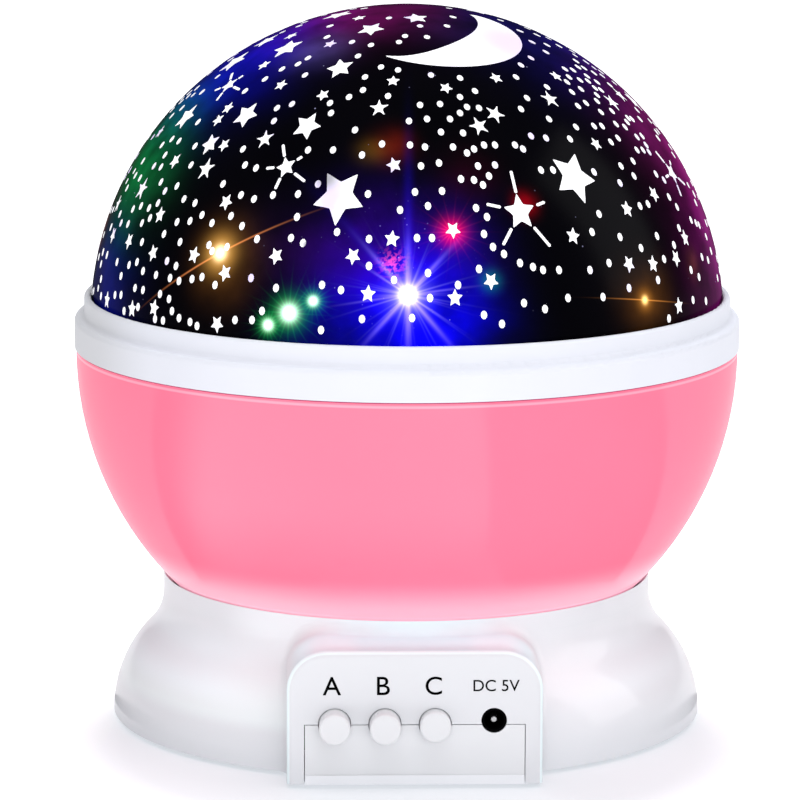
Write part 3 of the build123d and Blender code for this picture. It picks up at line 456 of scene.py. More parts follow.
# %% Cells
cell_low, cell_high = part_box("battery_cell_1")
bare_length = 2.0
band_width = 11.0
sleeve_half = (cell_high.x - cell_low.x) / 2 / MM - bare_length
cell = Finish("cell_wrap", {"Coat Weight": 0.3, "Coat Roughness": 0.1})
along_cell = cell.axis("X")
bare_end = cell.ramp(along_cell.math("ABSOLUTE"), sleeve_half - 0.1, sleeve_half + 0.1)
banded = cell.ramp(along_cell, sleeve_half - band_width, sleeve_half - band_width + 0.2)
wrap, plus_band, bare_metal = shade(34, 37, 44), shade(176, 120, 58), shade(205, 206, 209)
cell.set({"Base Color": cell.layers(wrap, (banded, plus_band), (bare_end, bare_metal)),
          "Metallic": bare_end, "Roughness": cell.noise(2.0) * 0.1 + 0.26})
cell.bump(cell.noise(1.2, 1.0), 0.004)
finishes["cell_wrap"] = cell
print("cell sleeve", round(2 * sleeve_half, 1), "mm long")

# %% [markdown]
# ## Lenses
#
# Four lamps stand under a clear cap. A lens is dyed resin round a light, so its body colour and its
# glow are the same, and clouds in both make it look thick. The cap is clear: it lets light through and
# hardly glows.

# %% Lenses
def lens(name, colour, glow):
    """Dyed clear resin over a small lamp: bright in the middle of the clouds, deeper at their edge."""
    finish = Finish(name, {"Coat Weight": 0.5, "Coat Roughness": 0.04, "Emission Strength": glow})
    resin = finish.mix(finish.noise(1.8), dimmed(colour, 0.75), colour)
    finish.set({"Base Color": resin, "Emission Color": resin, "Roughness": finish.noise(0.9) * 0.08 + 0.12})
    finish.bump(finish.noise(0.8, 1.0), 0.003)
    return finish


lamp_glow, cap_glow = 1.2, 0.12
resins = {"led_red": (255, 64, 56), "led_green": (70, 240, 110), "led_blue": (70, 96, 255),
          "led_white": (255, 236, 200)}
for name, colour in resins.items():
    finishes[name] = lens(name, shade(*colour), lamp_glow)
finishes["clear_cap"] = lens("clear_cap", shade(238, 242, 250), cap_glow)
finishes["clear_cap"].set({"Transmission Weight": 0.85, "IOR": 1.49})
print("lenses:", list(resins), "and the clear cap")

# %% [markdown]
# ## The dome's skin
#
# The dome is clear plastic with a black sky printed on it, and the print leaves the moon, the stars
# and hundreds of dots clear. The skin is a sphere, so a point on it is just a direction from the
# dome's centre. A place in the frame becomes such a direction by following the camera's ray until it
# meets the sphere. On the skin a small drawing is laid out by walking: so far across, so far up.

# %% Places on the dome
dome_radius = 62.2 * MM
dome_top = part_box("star_dome")[1].z
dome_centre = np.array([0.0, 0.0, dome_top - dome_radius])


def seen_on_dome(pixels):
    """Directions from the dome's centre to what shows at places of the 800-pixel frame. The ray
    eye + t * ray meets the sphere where t = -b - sqrt(b*b - c), or touches its edge."""
    offset = (np.atleast_2d(pixels) - aim_pixel) / focal_pixels
    ray = -back + offset[:, :1] * right - offset[:, 1:] * up
    ray /= np.linalg.norm(ray, axis=1, keepdims=True)
    gap = eye - dome_centre
    b = ray @ gap
    c = gap @ gap - dome_radius**2
    t = -b - np.sqrt(np.maximum(b * b - c, 0))
    spot = gap + t[:, None] * ray
    return spot / np.linalg.norm(spot, axis=1, keepdims=True)


def skin_point(facing):
    """The point of the skin, in metres, that lies in a direction from the dome's centre."""
    return dome_centre + dome_radius * facing


def compass(facing):
    """Two unit vectors along the skin at each direction: across to the right, and up to the top."""
    across = np.cross((0.0, 0.0, 1.0), facing)
    across /= np.linalg.norm(across, axis=-1, keepdims=True)
    return across, np.cross(facing, across)


def on_dome(facing, walk, lift):
    """Points of the skin. From each direction the walk (mm across, mm up) follows a great circle by
    walk / radius radians, then stands lift mm off the sphere."""
    across, rise = compass(facing)
    length = np.linalg.norm(walk, axis=-1, keepdims=True)
    heading = walk[..., :1] * across[:, None] + walk[..., 1:] * rise[:, None]
    heading /= np.maximum(length, 1e-9)
    turn = length * MM / dome_radius
    direction = np.cos(turn) * facing[:, None] + np.sin(turn) * heading
    return dome_centre + direction * (dome_radius + lift * MM)


print("the dome's centre is", (dome_centre / MM).round(2), "mm, its top", round(dome_top / MM, 2))

# %% [markdown]
# ## Window shapes
#
# A window is drawn as a closed outline in millimetres. A star alternates long tips and a waist, a
# dot is a slightly tall ellipse, and a ray is a rounded stroke. Cutting the corners once or twice
# gives them the soft look of ink, which never prints a needle-sharp corner. The stars come out a little
# narrow and tall, because the flat print is stretched upwards when it is formed into a dome.

# %% Outlines
print_stretch = (0.93, 1.08)


def softened(outline, cut):
    """Corner cutting: each corner gives way to a point on either side of it, a share along its edges."""
    before, after = np.roll(outline, 1, axis=0), np.roll(outline, -1, axis=0)
    pair = np.stack([(1 - cut) * outline + cut * before, (1 - cut) * outline + cut * after], axis=1)
    return pair.reshape(-1, 2)


def star_outline(tip, waist, turn, cut=0.1):
    """Five tips at radius tip and five notches at tip * waist, the first tip turn degrees left of up."""
    angle = np.radians(90 + turn + 36 * np.arange(10))
    radius = np.where(np.arange(10) % 2 == 0, tip, tip * waist)
    corners = np.stack([radius * np.cos(angle), radius * np.sin(angle)], axis=1)
    return softened(softened(corners, cut), 0.25) * print_stretch


def dot_outline(width, height, points=10):
    """An ellipse."""
    angle = 2 * np.pi * np.arange(points) / points
    return np.stack([width / 2 * np.cos(angle), height / 2 * np.sin(angle)], axis=1)


def ray_outline(start, end, turn, width, points=12):
    """A stroke with round ends, from start to end along the line turn degrees left of up."""
    angle = 2 * np.pi * (np.arange(points) + 0.5) / points
    along = np.where(np.cos(angle) > 0, end - width / 2, start + width / 2) + width / 2 * np.cos(angle)
    aside = width / 2 * np.sin(angle)
    line = np.radians(90 + turn)
    return np.stack([along * np.cos(line) - aside * np.sin(line),
                     along * np.sin(line) + aside * np.cos(line)], axis=1)


print("a star has", len(star_outline(5, 0.6, 0)), "outline points and a dot", len(dot_outline(1, 1)))

# %% [markdown]
# ## What lights the windows
#
# The four lamps inside fill the dome with light, so a clear window is the brightest thing on it. It
# needs a white body that also glows a little, with a faint lavender cloud where the light is thinner.
# A few windows low on the left and one tip of the big star are painted greyer, as painted shade
# where something inside stands in the light.

# %% Window finish
shadow_pixel, shadow_reach = (312, 250), 8.0
tip_pixel, tip_reach = (327, 178), (3.8, 0.4)
lavender_pixel, lavender_reach = (512, 44), (15.0, 2.0)
bright, lavender, greyed = shade(236, 236, 238), shade(206, 193, 230), shade(150, 149, 156)
lit = Finish("lit_window", {"Specular IOR Level": 0.1, "Coat Weight": 0.1, "Emission Strength": 0.4})
from_shadow, from_tip, from_lavender = (lit.distance(skin_point(seen_on_dome(pixel)[0]))
                                        for pixel in (shadow_pixel, tip_pixel, lavender_pixel))
# Painted shade: windows near the shadow place and the big star's tip are greyer.
dim = lit.ramp(from_shadow, shadow_reach, 0.0) * lit.ramp(lit.noise(2.6), 0.42, 0.62)
dim = dim.math("MAXIMUM", lit.ramp(from_tip, *tip_reach))
thin = lit.ramp(from_lavender, *lavender_reach).math("MAXIMUM", lit.ramp(lit.noise(13.0), 0.55, 0.7))
light_cloud = lit.layers(bright, (thin, lavender), (dim, greyed))
lit.set({"Base Color": light_cloud, "Emission Color": light_cloud, "Roughness": lit.noise(4.0) * 0.1 + 0.25})
lit.bump(lit.noise(3.0, 1.0), 0.003)
print("windows glow at", lit.shader.inputs["Emission Strength"].default_value)

# %% [markdown]
# ## Windows as thin solids
#
# A flat patch would cut through the round dome, so a window is a thin lens that follows the sphere.
# Its points form rings: small to large just above the skin, then large to small just below it. The
# two ends close in a pole, and the same face pattern serves every window, shifted by its first point.

# %% Window solids
window_proud = 0.03
window_depth = 0.12


def closed_rings(rows, columns, copies):
    """Faces of copies of a closed surface of rings: quads between rings, fans at the two poles. Its
    points are counted ring by ring, then the first pole and the last one."""
    row, column = np.meshgrid(np.arange(rows - 1), np.arange(columns), indexing="ij")
    ahead = (column + 1) % columns
    quads = np.stack([row * columns + column, (row + 1) * columns + column,
                      (row + 1) * columns + ahead, row * columns + ahead], axis=-1).reshape(-1, 4)
    edge = np.arange(columns)
    beside = (edge + 1) % columns
    first_pole, last_pole = (np.full(columns, rows * columns + pole) for pole in (0, 1))
    last_row = (rows - 1) * columns
    fans = np.concatenate([np.stack([first_pole, edge, beside], axis=-1),
                           np.stack([last_pole, last_row + beside, last_row + edge], axis=-1)])
    shift = np.arange(copies)[:, None, None] * (rows * columns + 2)
    return (quads + shift).reshape(-1, 4).tolist() + (fans + shift).reshape(-1, 3).tolist()


def declare(name, mesh, body, finish):
    """Makes a mesh a piece of the light: the body it rides on, its material slot and its finish."""
    mesh.materials.append(finish.material)
    piece = bpy.data.objects.new(name, mesh)
    bpy.context.scene.collection.objects.link(piece)
    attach(piece, body)


def dome_window(name, points, faces):
    """Puts points and faces into a mesh, which becomes a lit window of the dome."""
    mesh = bpy.data.meshes.new(name)
    mesh.from_pydata(points.reshape(-1, 3).tolist(), [], faces)
    declare(name, mesh, "dome", lit)


def window_piece(name, facing, outlines, rings):
    """Windows of one kind: outline k lies at direction k, its rings shrink towards its own middle."""
    outlines = np.asarray(outlines)
    middle = outlines.mean(axis=1, keepdims=True)
    share = np.arange(1, rings + 1) / rings
    flat = middle[:, None] + share[None, :, None, None] * (outlines - middle)[:, None]
    count, _, columns, _ = flat.shape
    over, under = (on_dome(facing, flat.reshape(count, -1, 2), lift).reshape(count, rings, columns, 3)
                   for lift in (window_proud, -window_depth))
    skin = np.concatenate([over, under[:, ::-1]], axis=1).reshape(count, -1, 3)
    poles = [on_dome(facing, middle, lift) for lift in (window_proud, -window_depth)]
    points = np.concatenate([skin, *poles], axis=1)
    faces = closed_rings(2 * rings, columns, count)
    dome_window(name, points, faces)
    print(name, count, "windows,", len(faces), "faces")


print("a dot's lens has", len(closed_rings(2, 10, 1)), "faces")

# %% [markdown]
# ## Moon
#
# The moon is a crescent between two curves that share its horns. Each rim runs through a few places
# of the frame, joined by a polynomial of the distance travelled, which is as smooth as a drawn line.
# The crescent is a strip carried from horn to horn: across it, points run from the inner rim to the
# outer one and back again under the skin.

# %% Moon
moon_heart = (478, 48)
upper_horn, lower_horn = (468.6, 13.9), (382.8, 55.3)
outer_rim = [upper_horn, (522, 44.5), (507, 60), (458, 66.6), (415, 63), lower_horn]
inner_rim = [upper_horn, (478, 24), (472, 33), (458, 41), (431, 51), lower_horn]
moon_steps = 40
moon_strips = 8


def flat_places(middle, pixels):
    """Where places of the frame lie in the flat drawing round a middle direction, in millimetres."""
    spot = seen_on_dome(pixels)
    turn = np.arccos(np.clip(spot @ middle, -1, 1)) * dome_radius / MM
    flat = np.stack([spot @ way for way in compass(middle)], axis=1)
    return flat / np.linalg.norm(flat, axis=1, keepdims=True) * turn[:, None]


def curve_through(points, steps):
    """A smooth line through points: across and up are polynomials of the distance travelled so far,
    one degree less than there are points. The two ends are left out."""
    travelled = np.concatenate([[0], np.cumsum(np.linalg.norm(np.diff(points, axis=0), axis=1))])
    travelled /= travelled[-1]
    step = np.linspace(0, 1, steps + 2)[1:-1]
    powers = np.vander(travelled, len(points))
    return np.vander(step, len(points)) @ np.linalg.solve(powers, points)


moon_middle = seen_on_dome(moon_heart)[0]
outer_places = flat_places(moon_middle, outer_rim)
inner_curve = curve_through(flat_places(moon_middle, inner_rim), moon_steps)
outer_curve = curve_through(outer_places, moon_steps)
share = np.linspace(0, 1, moon_strips)[None, :, None]
strip = inner_curve[:, None] * (1 - share) + outer_curve[:, None] * share
strip = strip.reshape(1, -1, 2)
moon_over, moon_under = (on_dome(moon_middle[None], strip, lift).reshape(moon_steps, moon_strips, 3)
                         for lift in (window_proud, -window_depth))
moon_rings = np.concatenate([moon_over, moon_under[:, ::-1]], axis=1)
horns = on_dome(moon_middle[None], outer_places[[0, -1]][None], -window_depth / 2)[0]
moon_points = np.concatenate([moon_rings.reshape(-1, 3), horns])
dome_window("moon_window", moon_points, closed_rings(moon_steps, 2 * moon_strips, 1))
print("the moon is", round(float(np.linalg.norm(horns[0] - horns[1])) / MM, 1), "mm from horn to horn")

# %% [markdown]
# ## Room for each window
#
# No window may slip under the ring's lip, where the dome is hidden. Every window is noted as a place
# with a reach, like a coin on a table, and the moon as a row of coins along its spine. Windows of the
# near side go where the eye puts them. The print goes round the dome in two halves, so each is laid
# down once more on the far side, but only where its coin clears all the others.

# %% Room for each window
far_side = np.array([-1.0, -1.0, 1.0])
lip_margin, moon_margin = 0.15, 0.4
ring_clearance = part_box("rim_ring")[1].z / MM + lip_margin
moon_spine = (inner_curve + outer_curve)[::4] / 2
moon_half = np.linalg.norm(inner_curve - outer_curve, axis=1)[::4] / 2
moon_places = (on_dome(moon_middle[None], moon_spine[None], 0) - dome_centre) / dome_radius
taken_places = list(moon_places.transpose(1, 0, 2))
taken_reach = list(moon_half + moon_margin)


def walk_between(first, second):
    """Millimetres along the skin between each of the first directions and each of the second."""
    return np.arccos(np.clip(first @ second.T, -1, 1)) * dome_radius / MM


def above_ring(facing, reach):
    """Whether the lowest point of a window, reach mm down the skin, still clears the ring's lip."""
    height = skin_point(facing)[2] / MM
    return bool(height - reach * np.sqrt(1 - facing[2] ** 2) > ring_clearance)


def has_room(facing, reach, gap=0.7):
    """Whether a window clears the ring, and every window so far by gap mm."""
    apart = walk_between(facing[None], np.concatenate(taken_places))[0]
    return above_ring(facing, reach) and bool((apart > np.array(taken_reach) + reach + gap).all())


def take(facing, reach):
    """Notes a window as taken."""
    taken_places.append(facing[None])
    taken_reach.append(reach)


def both_sides(pixels, reaches):
    """Windows seen in the frame, then those that still have room on the far side: their numbers in the
    list of places, and their directions."""
    near = seen_on_dome(pixels)
    chosen = []
    for side, fits in ((1.0, above_ring), (far_side, has_room)):
        for index, (facing, reach) in enumerate(zip(near * side, reaches)):
            if fits(facing, reach):
                take(facing, reach)
                chosen.append((index, facing))
    return [index for index, _ in chosen], np.array([facing for _, facing in chosen])


print("the moon takes", len(taken_places), "places, and windows stay above z", round(ring_clearance, 2), "mm")

# %% [markdown]
# ## Stars
#
# The print has plump stars, slim ones with fine arms, and a few whose tips throw a ray. Drawing them
# at random would lose the look of this sky, so they are placed one by one by where they show in the
# frame: a place, the length of a tip in millimetres and how far the star is turned, in degrees.

# %% Star places
plump_stars = {
    "over_the_left_lamps": ((339, 196.5), 5.45, 180), "over_the_right_side": ((574, 177), 5.2, -30),
    "upper_left": ((307, 126), 3.1, -15), "high_left": ((340, 68), 2.85, 25),
    "near_the_top": ((371, 29), 2.85, 60), "left_shoulder": ((246, 115), 3.0, -12),
    "left_edge_high": ((287, 48), 3.2, 40), "left_edge": ((234, 62), 3.4, 12),
    "far_left": ((186, 117), 3.0, 70), "left_pair": ((210, 144), 2.3, 30),
    "under_the_top": ((416, 18), 2.65, 5), "edge_of_the_top": ((338, 15), 2.9, 30),
    "edge_high": ((266, 41), 2.6, 10), "edge_left": ((184, 95), 2.6, 40),
}
rayed_stars = {
    "right_of_middle": ((520, 212), 3.5, 0), "left_of_middle": ((286, 167), 2.2, 25),
    "left_high": ((229, 85), 2.0, 50), "right_edge": ((672, 173), 2.3, 20),
}
slim_stars = {
    "left": ((379, 108), 2.3, 5), "upper": ((265, 139), 2.3, 20), "edge": ((206, 169), 2.6, 10),
    "low_edge": ((142, 189), 2.6, 0), "right_pair": ((479, 126), 2.4, 15),
    "right_pair_mate": ((495, 114), 2.4, 40), "right_high": ((550, 99), 2.4, 60),
    "right_edge": ((612, 102), 2.4, 30), "right_edge_high": ((620, 95), 2.2, 0),
    "green_edge": ((118, 204), 2.0, 15),
}
print(len(plump_stars), "plump,", len(rayed_stars), "rayed and", len(slim_stars), "slim stars placed by hand")

# %% Small stars
small_stars_high = [
    (393, 81), (323, 95), (281, 85), (264, 65), (228, 108), (218, 120), (330, 44), (446, 88), (496, 78),
    (556, 76), (596, 144), (224, 145), (160, 132), (359, 18), (291, 36),
]
small_stars_middle = [
    (175, 161), (160, 215), (226, 202), (394, 165), (627, 209), (654, 194), (573, 236), (629, 264),
    (653, 264), (676, 258), (685, 238),
]
small_stars_low = [
    (153, 253), (194, 255), (225, 273), (154, 308), (276, 256), (392, 239), (353, 256), (368, 294),
    (491, 281), (455, 298), (453, 230), (679, 306), (129, 241), (107, 300), (113, 235), (132, 309),
    (217, 324),
]
high_tip, low_tip = 1.45, 1.65
small_stars = [(pixel, high_tip) for pixel in small_stars_high]
small_stars += [(pixel, low_tip) for pixel in small_stars_middle + small_stars_low]
print(len(small_stars), "small stars placed by hand")

# %% Stars as windows
ray_reach = 2.35
ray_start, ray_width = 1.08, 0.6
ray_share = (1.02, 0.8, 0.92, 1.04, 0.7)
small_turn = 37


def lay_stars(name, stars, waist, cut, rings, throw=1.0):
    """Lays stars on both sides, where throw is the room one needs against its tip. Returns the
    directions of what was laid, and the tip and turn of each."""
    pixels, tips, turns = zip(*stars)
    order, places = both_sides(pixels, [tip * throw for tip in tips])
    window_piece(name, places, [star_outline(tips[i], waist, turns[i], cut) for i in order], rings)
    return places, [(tips[i], turns[i]) for i in order]


lay_stars("plump_star_windows", plump_stars.values(), waist=0.5, cut=0.05, rings=3)
rayed, rayed_shapes = lay_stars("rayed_star_windows", rayed_stars.values(), waist=0.46, cut=0.1, rings=3,
                                throw=ray_reach)
rays = [ray_outline(tip * ray_start, tip * ray_reach * share, turn + 72 * k, ray_width)
        for tip, turn in rayed_shapes for k, share in enumerate(ray_share)]
window_piece("star_ray_windows", np.repeat(rayed, len(ray_share), axis=0), rays, 1)
lay_stars("slim_star_windows", slim_stars.values(), waist=0.27, cut=0.2, rings=2)
turned_stars = [(pixel, tip, small_turn * i % 72) for i, (pixel, tip) in enumerate(small_stars)]
lay_stars("small_star_windows", turned_stars, waist=0.46, cut=0.1, rings=2)

# %% [markdown]
# ## Dots
#
# Between the stars the print has hundreds of dots in wavy chains. Those on the near side are listed
# region by region, and repeated on the far side like the stars.

# %% Dots listed one by one
dot_regions = {
    "at_the_top": [
        (358, 56), (352, 42), (371, 45), (327, 37), (330, 26), (399, 42), (405, 36), (427, 37), (447, 26),
        (420, 26), (389, 18), (453, 17), (381, 67), (398, 70), (431, 75), (460, 78), (516, 77), (365, 77),
        (363, 90), (349, 97), (388, 96),
    ],
    "high_left": [
        (330, 103), (331, 113), (274, 121), (277, 108), (292, 104), (265, 79), (282, 69), (298, 64),
        (308, 58), (305, 75), (245, 91), (243, 149), (245, 165), (256, 168), (308, 150), (333, 150),
        (355, 130), (362, 155),
    ],
    "high": [
        (420, 105), (440, 104), (460, 97), (475, 91), (467, 107), (479, 108), (460, 113), (450, 119),
        (427, 119), (409, 121), (441, 132), (463, 133), (527, 98), (521, 109), (531, 136), (546, 138),
        (570, 139), (549, 119), (576, 127), (382, 144), (410, 145), (425, 147), (453, 147), (467, 153),
        (474, 149), (484, 145), (495, 145), (515, 145), (523, 149),
    ],
    "middle": [
        (421, 166), (439, 163), (478, 166), (495, 165), (489, 176), (474, 180), (483, 185), (461, 179),
        (541, 170), (553, 170), (594, 172), (368, 194), (415, 192), (442, 191), (400, 210), (428, 206),
        (476, 208), (487, 217), (484, 234), (493, 247), (504, 254), (417, 238), (432, 238), (369, 239),
        (369, 266), (337, 232), (428, 273), (592, 232), (599, 214),
    ],
    "middle_left": [
        (318, 184), (297, 217), (298, 194), (273, 195), (254, 199), (241, 195), (242, 226), (257, 239),
        (251, 278), (276, 288), (291, 238), (303, 243), (322, 285), (341, 290), (262, 311), (252, 320),
    ],
    "low": [
        (479, 269), (458, 285), (362, 319), (412, 318), (430, 298), (484, 315), (502, 324), (321, 330),
        (520, 263), (533, 267), (543, 270), (559, 270), (590, 270), (568, 298), (524, 303), (545, 309),
    ],
    "left_edge_high": [
        (202, 92), (197, 88), (182, 108), (198, 122), (172, 139), (179, 141), (162, 145), (195, 146),
        (137, 156), (143, 161), (165, 155), (154, 166), (161, 167), (191, 165), (130, 170), (140, 178),
        (127, 188), (161, 182), (177, 186), (165, 191), (223, 184),
    ],
    "left_edge": [
        (184, 199), (195, 203), (158, 203), (149, 208), (141, 206), (133, 209), (120, 214), (202, 215),
        (231, 216), (190, 221), (177, 222), (212, 223), (150, 218), (142, 223), (128, 224), (121, 223),
        (111, 227), (164, 234), (142, 242), (180, 242), (209, 245), (227, 247), (212, 251), (167, 261),
        (176, 266), (137, 262), (129, 265), (117, 262), (107, 255), (103, 252), (98, 248), (101, 264),
    ],
    "left_edge_low": [
        (143, 271), (121, 276), (156, 275), (170, 278), (179, 281), (192, 279), (202, 277), (101, 279),
        (215, 285), (135, 288), (143, 290), (160, 294), (169, 299), (115, 295), (121, 295), (101, 296),
        (138, 307), (172, 311), (179, 318), (190, 322), (155, 319), (163, 320.5), (124, 311), (235, 320),
        (197, 326),
    ],
    "right_edge_high": [
        (520, 31), (537, 35), (532, 42), (547, 45), (559, 46), (546, 52), (531, 58), (521, 65), (576, 61),
        (586, 62), (565, 69), (573, 70), (578, 67), (584, 68), (594, 73), (601, 72), (587, 76), (569, 77),
        (567, 82), (580, 80), (588, 81), (597, 82), (610, 85), (581, 89), (572, 92), (595, 88), (601, 90),
        (597, 95), (547, 87), (578, 106), (586, 103), (597, 101), (601, 112), (612, 111), (637, 110),
        (628, 118), (632, 119), (627, 122), (625, 127), (640, 119), (594, 126), (602, 126), (616, 124),
    ],
    "right_edge": [
        (618, 138), (611, 142), (637, 137), (642, 136), (658, 138), (646, 145), (637, 150), (643, 150),
        (649, 152), (633, 161), (621, 166), (634, 176), (620, 183), (656, 174), (664, 180), (669, 197),
        (640, 206), (648, 204), (694, 194), (677, 207), (679, 228), (691, 220), (696, 223), (699, 225),
        (706, 223), (620, 237), (657, 236), (641, 248), (674, 245), (702, 257), (708, 260), (711, 251),
        (664, 259), (609, 263),
    ],
    "right_edge_low": [
        (691, 270), (658, 280), (699, 277), (629, 288), (603, 297), (693, 300), (706, 301), (669, 318.5),
        (637, 325.5), (610, 329.5),
    ],
    "by_the_main_lamp": [(394, 280)],
}
dot_width, dot_height = 1.2, 1.6
pixels = sum(dot_regions.values(), [])
_, near_and_far = both_sides(pixels, [dot_height / 2] * len(pixels))
print(len(pixels), "dots placed by hand,", len(near_and_far), "with the far side")

# %% [markdown]
# The rest come from rows that climb the dome, each a wave of its own. Along a row two to four dots
# stand close together, then comes a wider gap, so the steps are drawn at random as short or long.
# A candidate that would touch a star or another dot is dropped, and so is one between the two
# longitudes where the listed dots end. The seed makes the same sky each time.

# %% Chains of dots
row_gap, rows_up = 3.9, 22
lowest_row, highest_dot = np.radians(8.3), np.radians(84)
short_step, long_step, short_share = 2.9, 6.0, 0.55
step_spread, size_spread = (0.85, 1.15), (0.8, 1.0)
wave, waves_round, jitter = 1.9, 5, 0.8
wave_shift, row_shift = 1.7, 0.7
draws = 150
chain_gap = 0.5
hand_end_pixels = [(104, 262), (711, 262)]
hand_left, hand_right = (np.arctan2(facing[0], -facing[1]) for facing in seen_on_dome(hand_end_pixels))
chance = np.random.default_rng(12)
candidates = []
for row in range(rows_up):
    latitude = lowest_row + row * row_gap * MM / dome_radius
    round_it = 2 * np.pi * np.cos(latitude) * dome_radius / MM
    steps = np.where(chance.random(draws) < short_share, short_step, long_step)
    walked = np.cumsum(steps * chance.uniform(*step_spread, draws))
    longitude = 2 * np.pi * walked[walked < round_it - short_step] / round_it + row_shift * row
    rise = wave * np.sin(waves_round * longitude + wave_shift * row)
    rise += chance.uniform(-jitter, jitter, len(longitude))
    wavy = latitude + rise * MM / dome_radius
    level = np.cos(wavy)
    spots = np.stack([level * np.sin(longitude), -level * np.cos(longitude), np.sin(wavy)], axis=1)
    candidates.append(spots[wavy < highest_dot])
candidates = np.concatenate(candidates)
print(len(candidates), "candidates in", rows_up, "rows")

# %% Dots as windows
side = np.where(candidates[:, 1] < 0, 1, -1)
longitude = np.arctan2(side * candidates[:, 0], -side * candidates[:, 1])
dots, sizes = list(near_and_far), [1.0] * len(near_and_far)
for facing in candidates[(longitude < hand_left) | (longitude > hand_right)]:
    size = chance.uniform(*size_spread)
    if has_room(facing, dot_height / 2 * size, chain_gap):
        take(facing, dot_height / 2 * size)
        dots.append(facing)
        sizes.append(size)
outlines = [dot_outline(dot_width * size, dot_height * size) for size in sizes]
window_piece("dot_windows", np.array(dots), outlines, 1)

# %% [markdown]
# ## The printed sky
#
# The print is glossy black with patches of coloured light behind it. Each patch is a soft spot that
# fades with the square of its distance, exp(-(d / size)^2), added up as light that the dome gives off.
# Over the lamps there are star bursts, painted glints: the same spots, much smaller, with thin rays.
# A ray pattern comes from |cos(n * angle)| raised to a power that grows with the distance, which
# keeps it thin.

# %% Sky helpers
class Sky(Finish):
    """The dome's finish, which adds up coloured light."""

    light = None

    def add(self, colour, amount):
        """Adds a colour times an amount to the light of the sky."""
        scaled = self.vector("SCALE", {0: colour[:3], "Scale": amount})
        self.light = scaled if self.light is None else self.vector("ADD", {0: self.light, 1: scaled})

    def away(self, facing):
        """Millimetres from a place of the skin."""
        return self.distance(skin_point(facing))

    def spot(self, facing, size):
        """1 in the middle, fading as exp(-(d / size)^2)."""
        return (-(self.away(facing) / size) ** 2.0).math("EXPONENT")

    def drawing(self, facing):
        """Millimetres across and up from a place, measured in the plane that touches the dome there."""
        centre = skin_point(facing)
        return [self.vector("DOT_PRODUCT", {0: self.place, 1: tuple(way)}, 1) / MM - float(way @ centre) / MM
                for way in compass(facing)]

    def burst(self, facing, points, thin, length, turn=0.0):
        """Rays round a place: |cos(points / 2 * angle)| ^ (thin * d^2), fading as exp(-d / length)."""
        across, rise = self.drawing(facing)
        angle = rise.math("ARCTAN2", across)
        away = self.away(facing)
        comb = ((angle + np.radians(turn)) * (points / 2)).math("COSINE").math("ABSOLUTE")
        return comb ** (away * away * thin) * (-away / length).math("EXPONENT")

    def streak(self, facing, turn, width, length):
        """A line through a place, turn degrees left of level: exp(-(aside/width)^2 - (along/length)^2)."""
        across, rise = self.drawing(facing)
        cosine, sine = np.cos(np.radians(turn)), np.sin(np.radians(turn))
        along = across * cosine + rise * sine
        aside = rise * cosine - across * sine
        return (-((aside / width) ** 2.0 + (along / length) ** 2.0)).math("EXPONENT")

    def grains(self, apart):
        """The distance to the nearest grain, 0 on it, where grains lie about apart mm from each other."""
        sockets = {"Vector": self.place, "Scale": 1 / (apart * MM)}
        return self.node("ShaderNodeTexVoronoi", {"feature": "F1"}, sockets)


sky = Sky("star_dome", {"Specular IOR Level": 0.0, "Coat Weight": 0.035, "Coat Roughness": 0.2,
                        "Emission Strength": 1.0})
print("the sky starts as", sky.material.name, "with no light in it")

# %% [markdown]
# ### Patches of light
#
# Behind the print the lamps paint large soft patches: blue and green on the left, plum on the right, a
# deep blue heart low in the middle. They are laid down one by one: a place, a size in millimetres, a
# screen colour and a strength. The far side has fewer and larger ones, placed by longitude and latitude
# in degrees. Clouds then make all of them uneven.

# %% Patches on the near side
patches = {
    "royal_blue_left": ((240, 66), 12, (6, 12, 190), 0.6),
    "royal_blue_high": ((290, 32), 9, (30, 10, 150), 0.5), "teal_left": ((184, 106), 8, (4, 36, 90), 0.5),
    "green_left": ((152, 150), 10, (6, 116, 52), 0.85), "green_low": ((138, 196), 9, (14, 84, 44), 0.5),
    "rust_edge": ((104, 228), 4, (170, 84, 60), 0.4),
    "navy_low_left": ((104, 286), 11, (6, 14, 124), 0.5),
    "magenta_top": ((364, 12), 12, (128, 14, 100), 0.65),
    "haze_high": ((318, 48), 6, (74, 66, 124), 0.45), "violet_top": ((446, 26), 8, (44, 22, 70), 0.3),
    "navy_top_right": ((545, 40), 15, (20, 14, 110), 0.75),
    "plum_right_high": ((656, 128), 13, (116, 22, 92), 0.9),
    "plum_right": ((698, 186), 15, (140, 16, 112), 0.4),
    "plum_right_low": ((712, 256), 12, (110, 16, 96), 0.85),
    "violet_middle": ((372, 246), 9, (42, 0, 128), 0.85),
    "violet_left": ((296, 250), 8, (34, 4, 60), 0.5), "violet_right": ((452, 246), 8, (28, 2, 110), 0.6),
    "blue_heart": ((418, 303), 8.5, (6, 0, 255), 0.95), "blue_low": ((436, 338), 9, (0, 0, 236), 0.75),
    "blue_left": ((350, 325), 9, (0, 0, 170), 0.7), "blue_right": ((488, 316), 4, (0, 0, 110), 0.3),
    "red_right": ((526, 204), 2.0, (200, 0, 20), 0.7), "red_faint": ((468, 176), 5, (70, 0, 24), 0.2),
    "nebula_red": ((392, 146), 3.2, (150, 36, 10), 0.32),
    "nebula_gold": ((372, 150), 2.6, (96, 70, 6), 0.4),
    "amber_haze": ((226, 260), 5.8, (130, 80, 26), 0.5),
    "amber_haze_right": ((648, 296), 5.5, (110, 66, 20), 0.5),
    "ember_right": ((694, 264), 2.6, (150, 80, 50), 0.3),
    "teal_star": ((491, 281), 1.7, (0, 120, 90), 0.5),
}
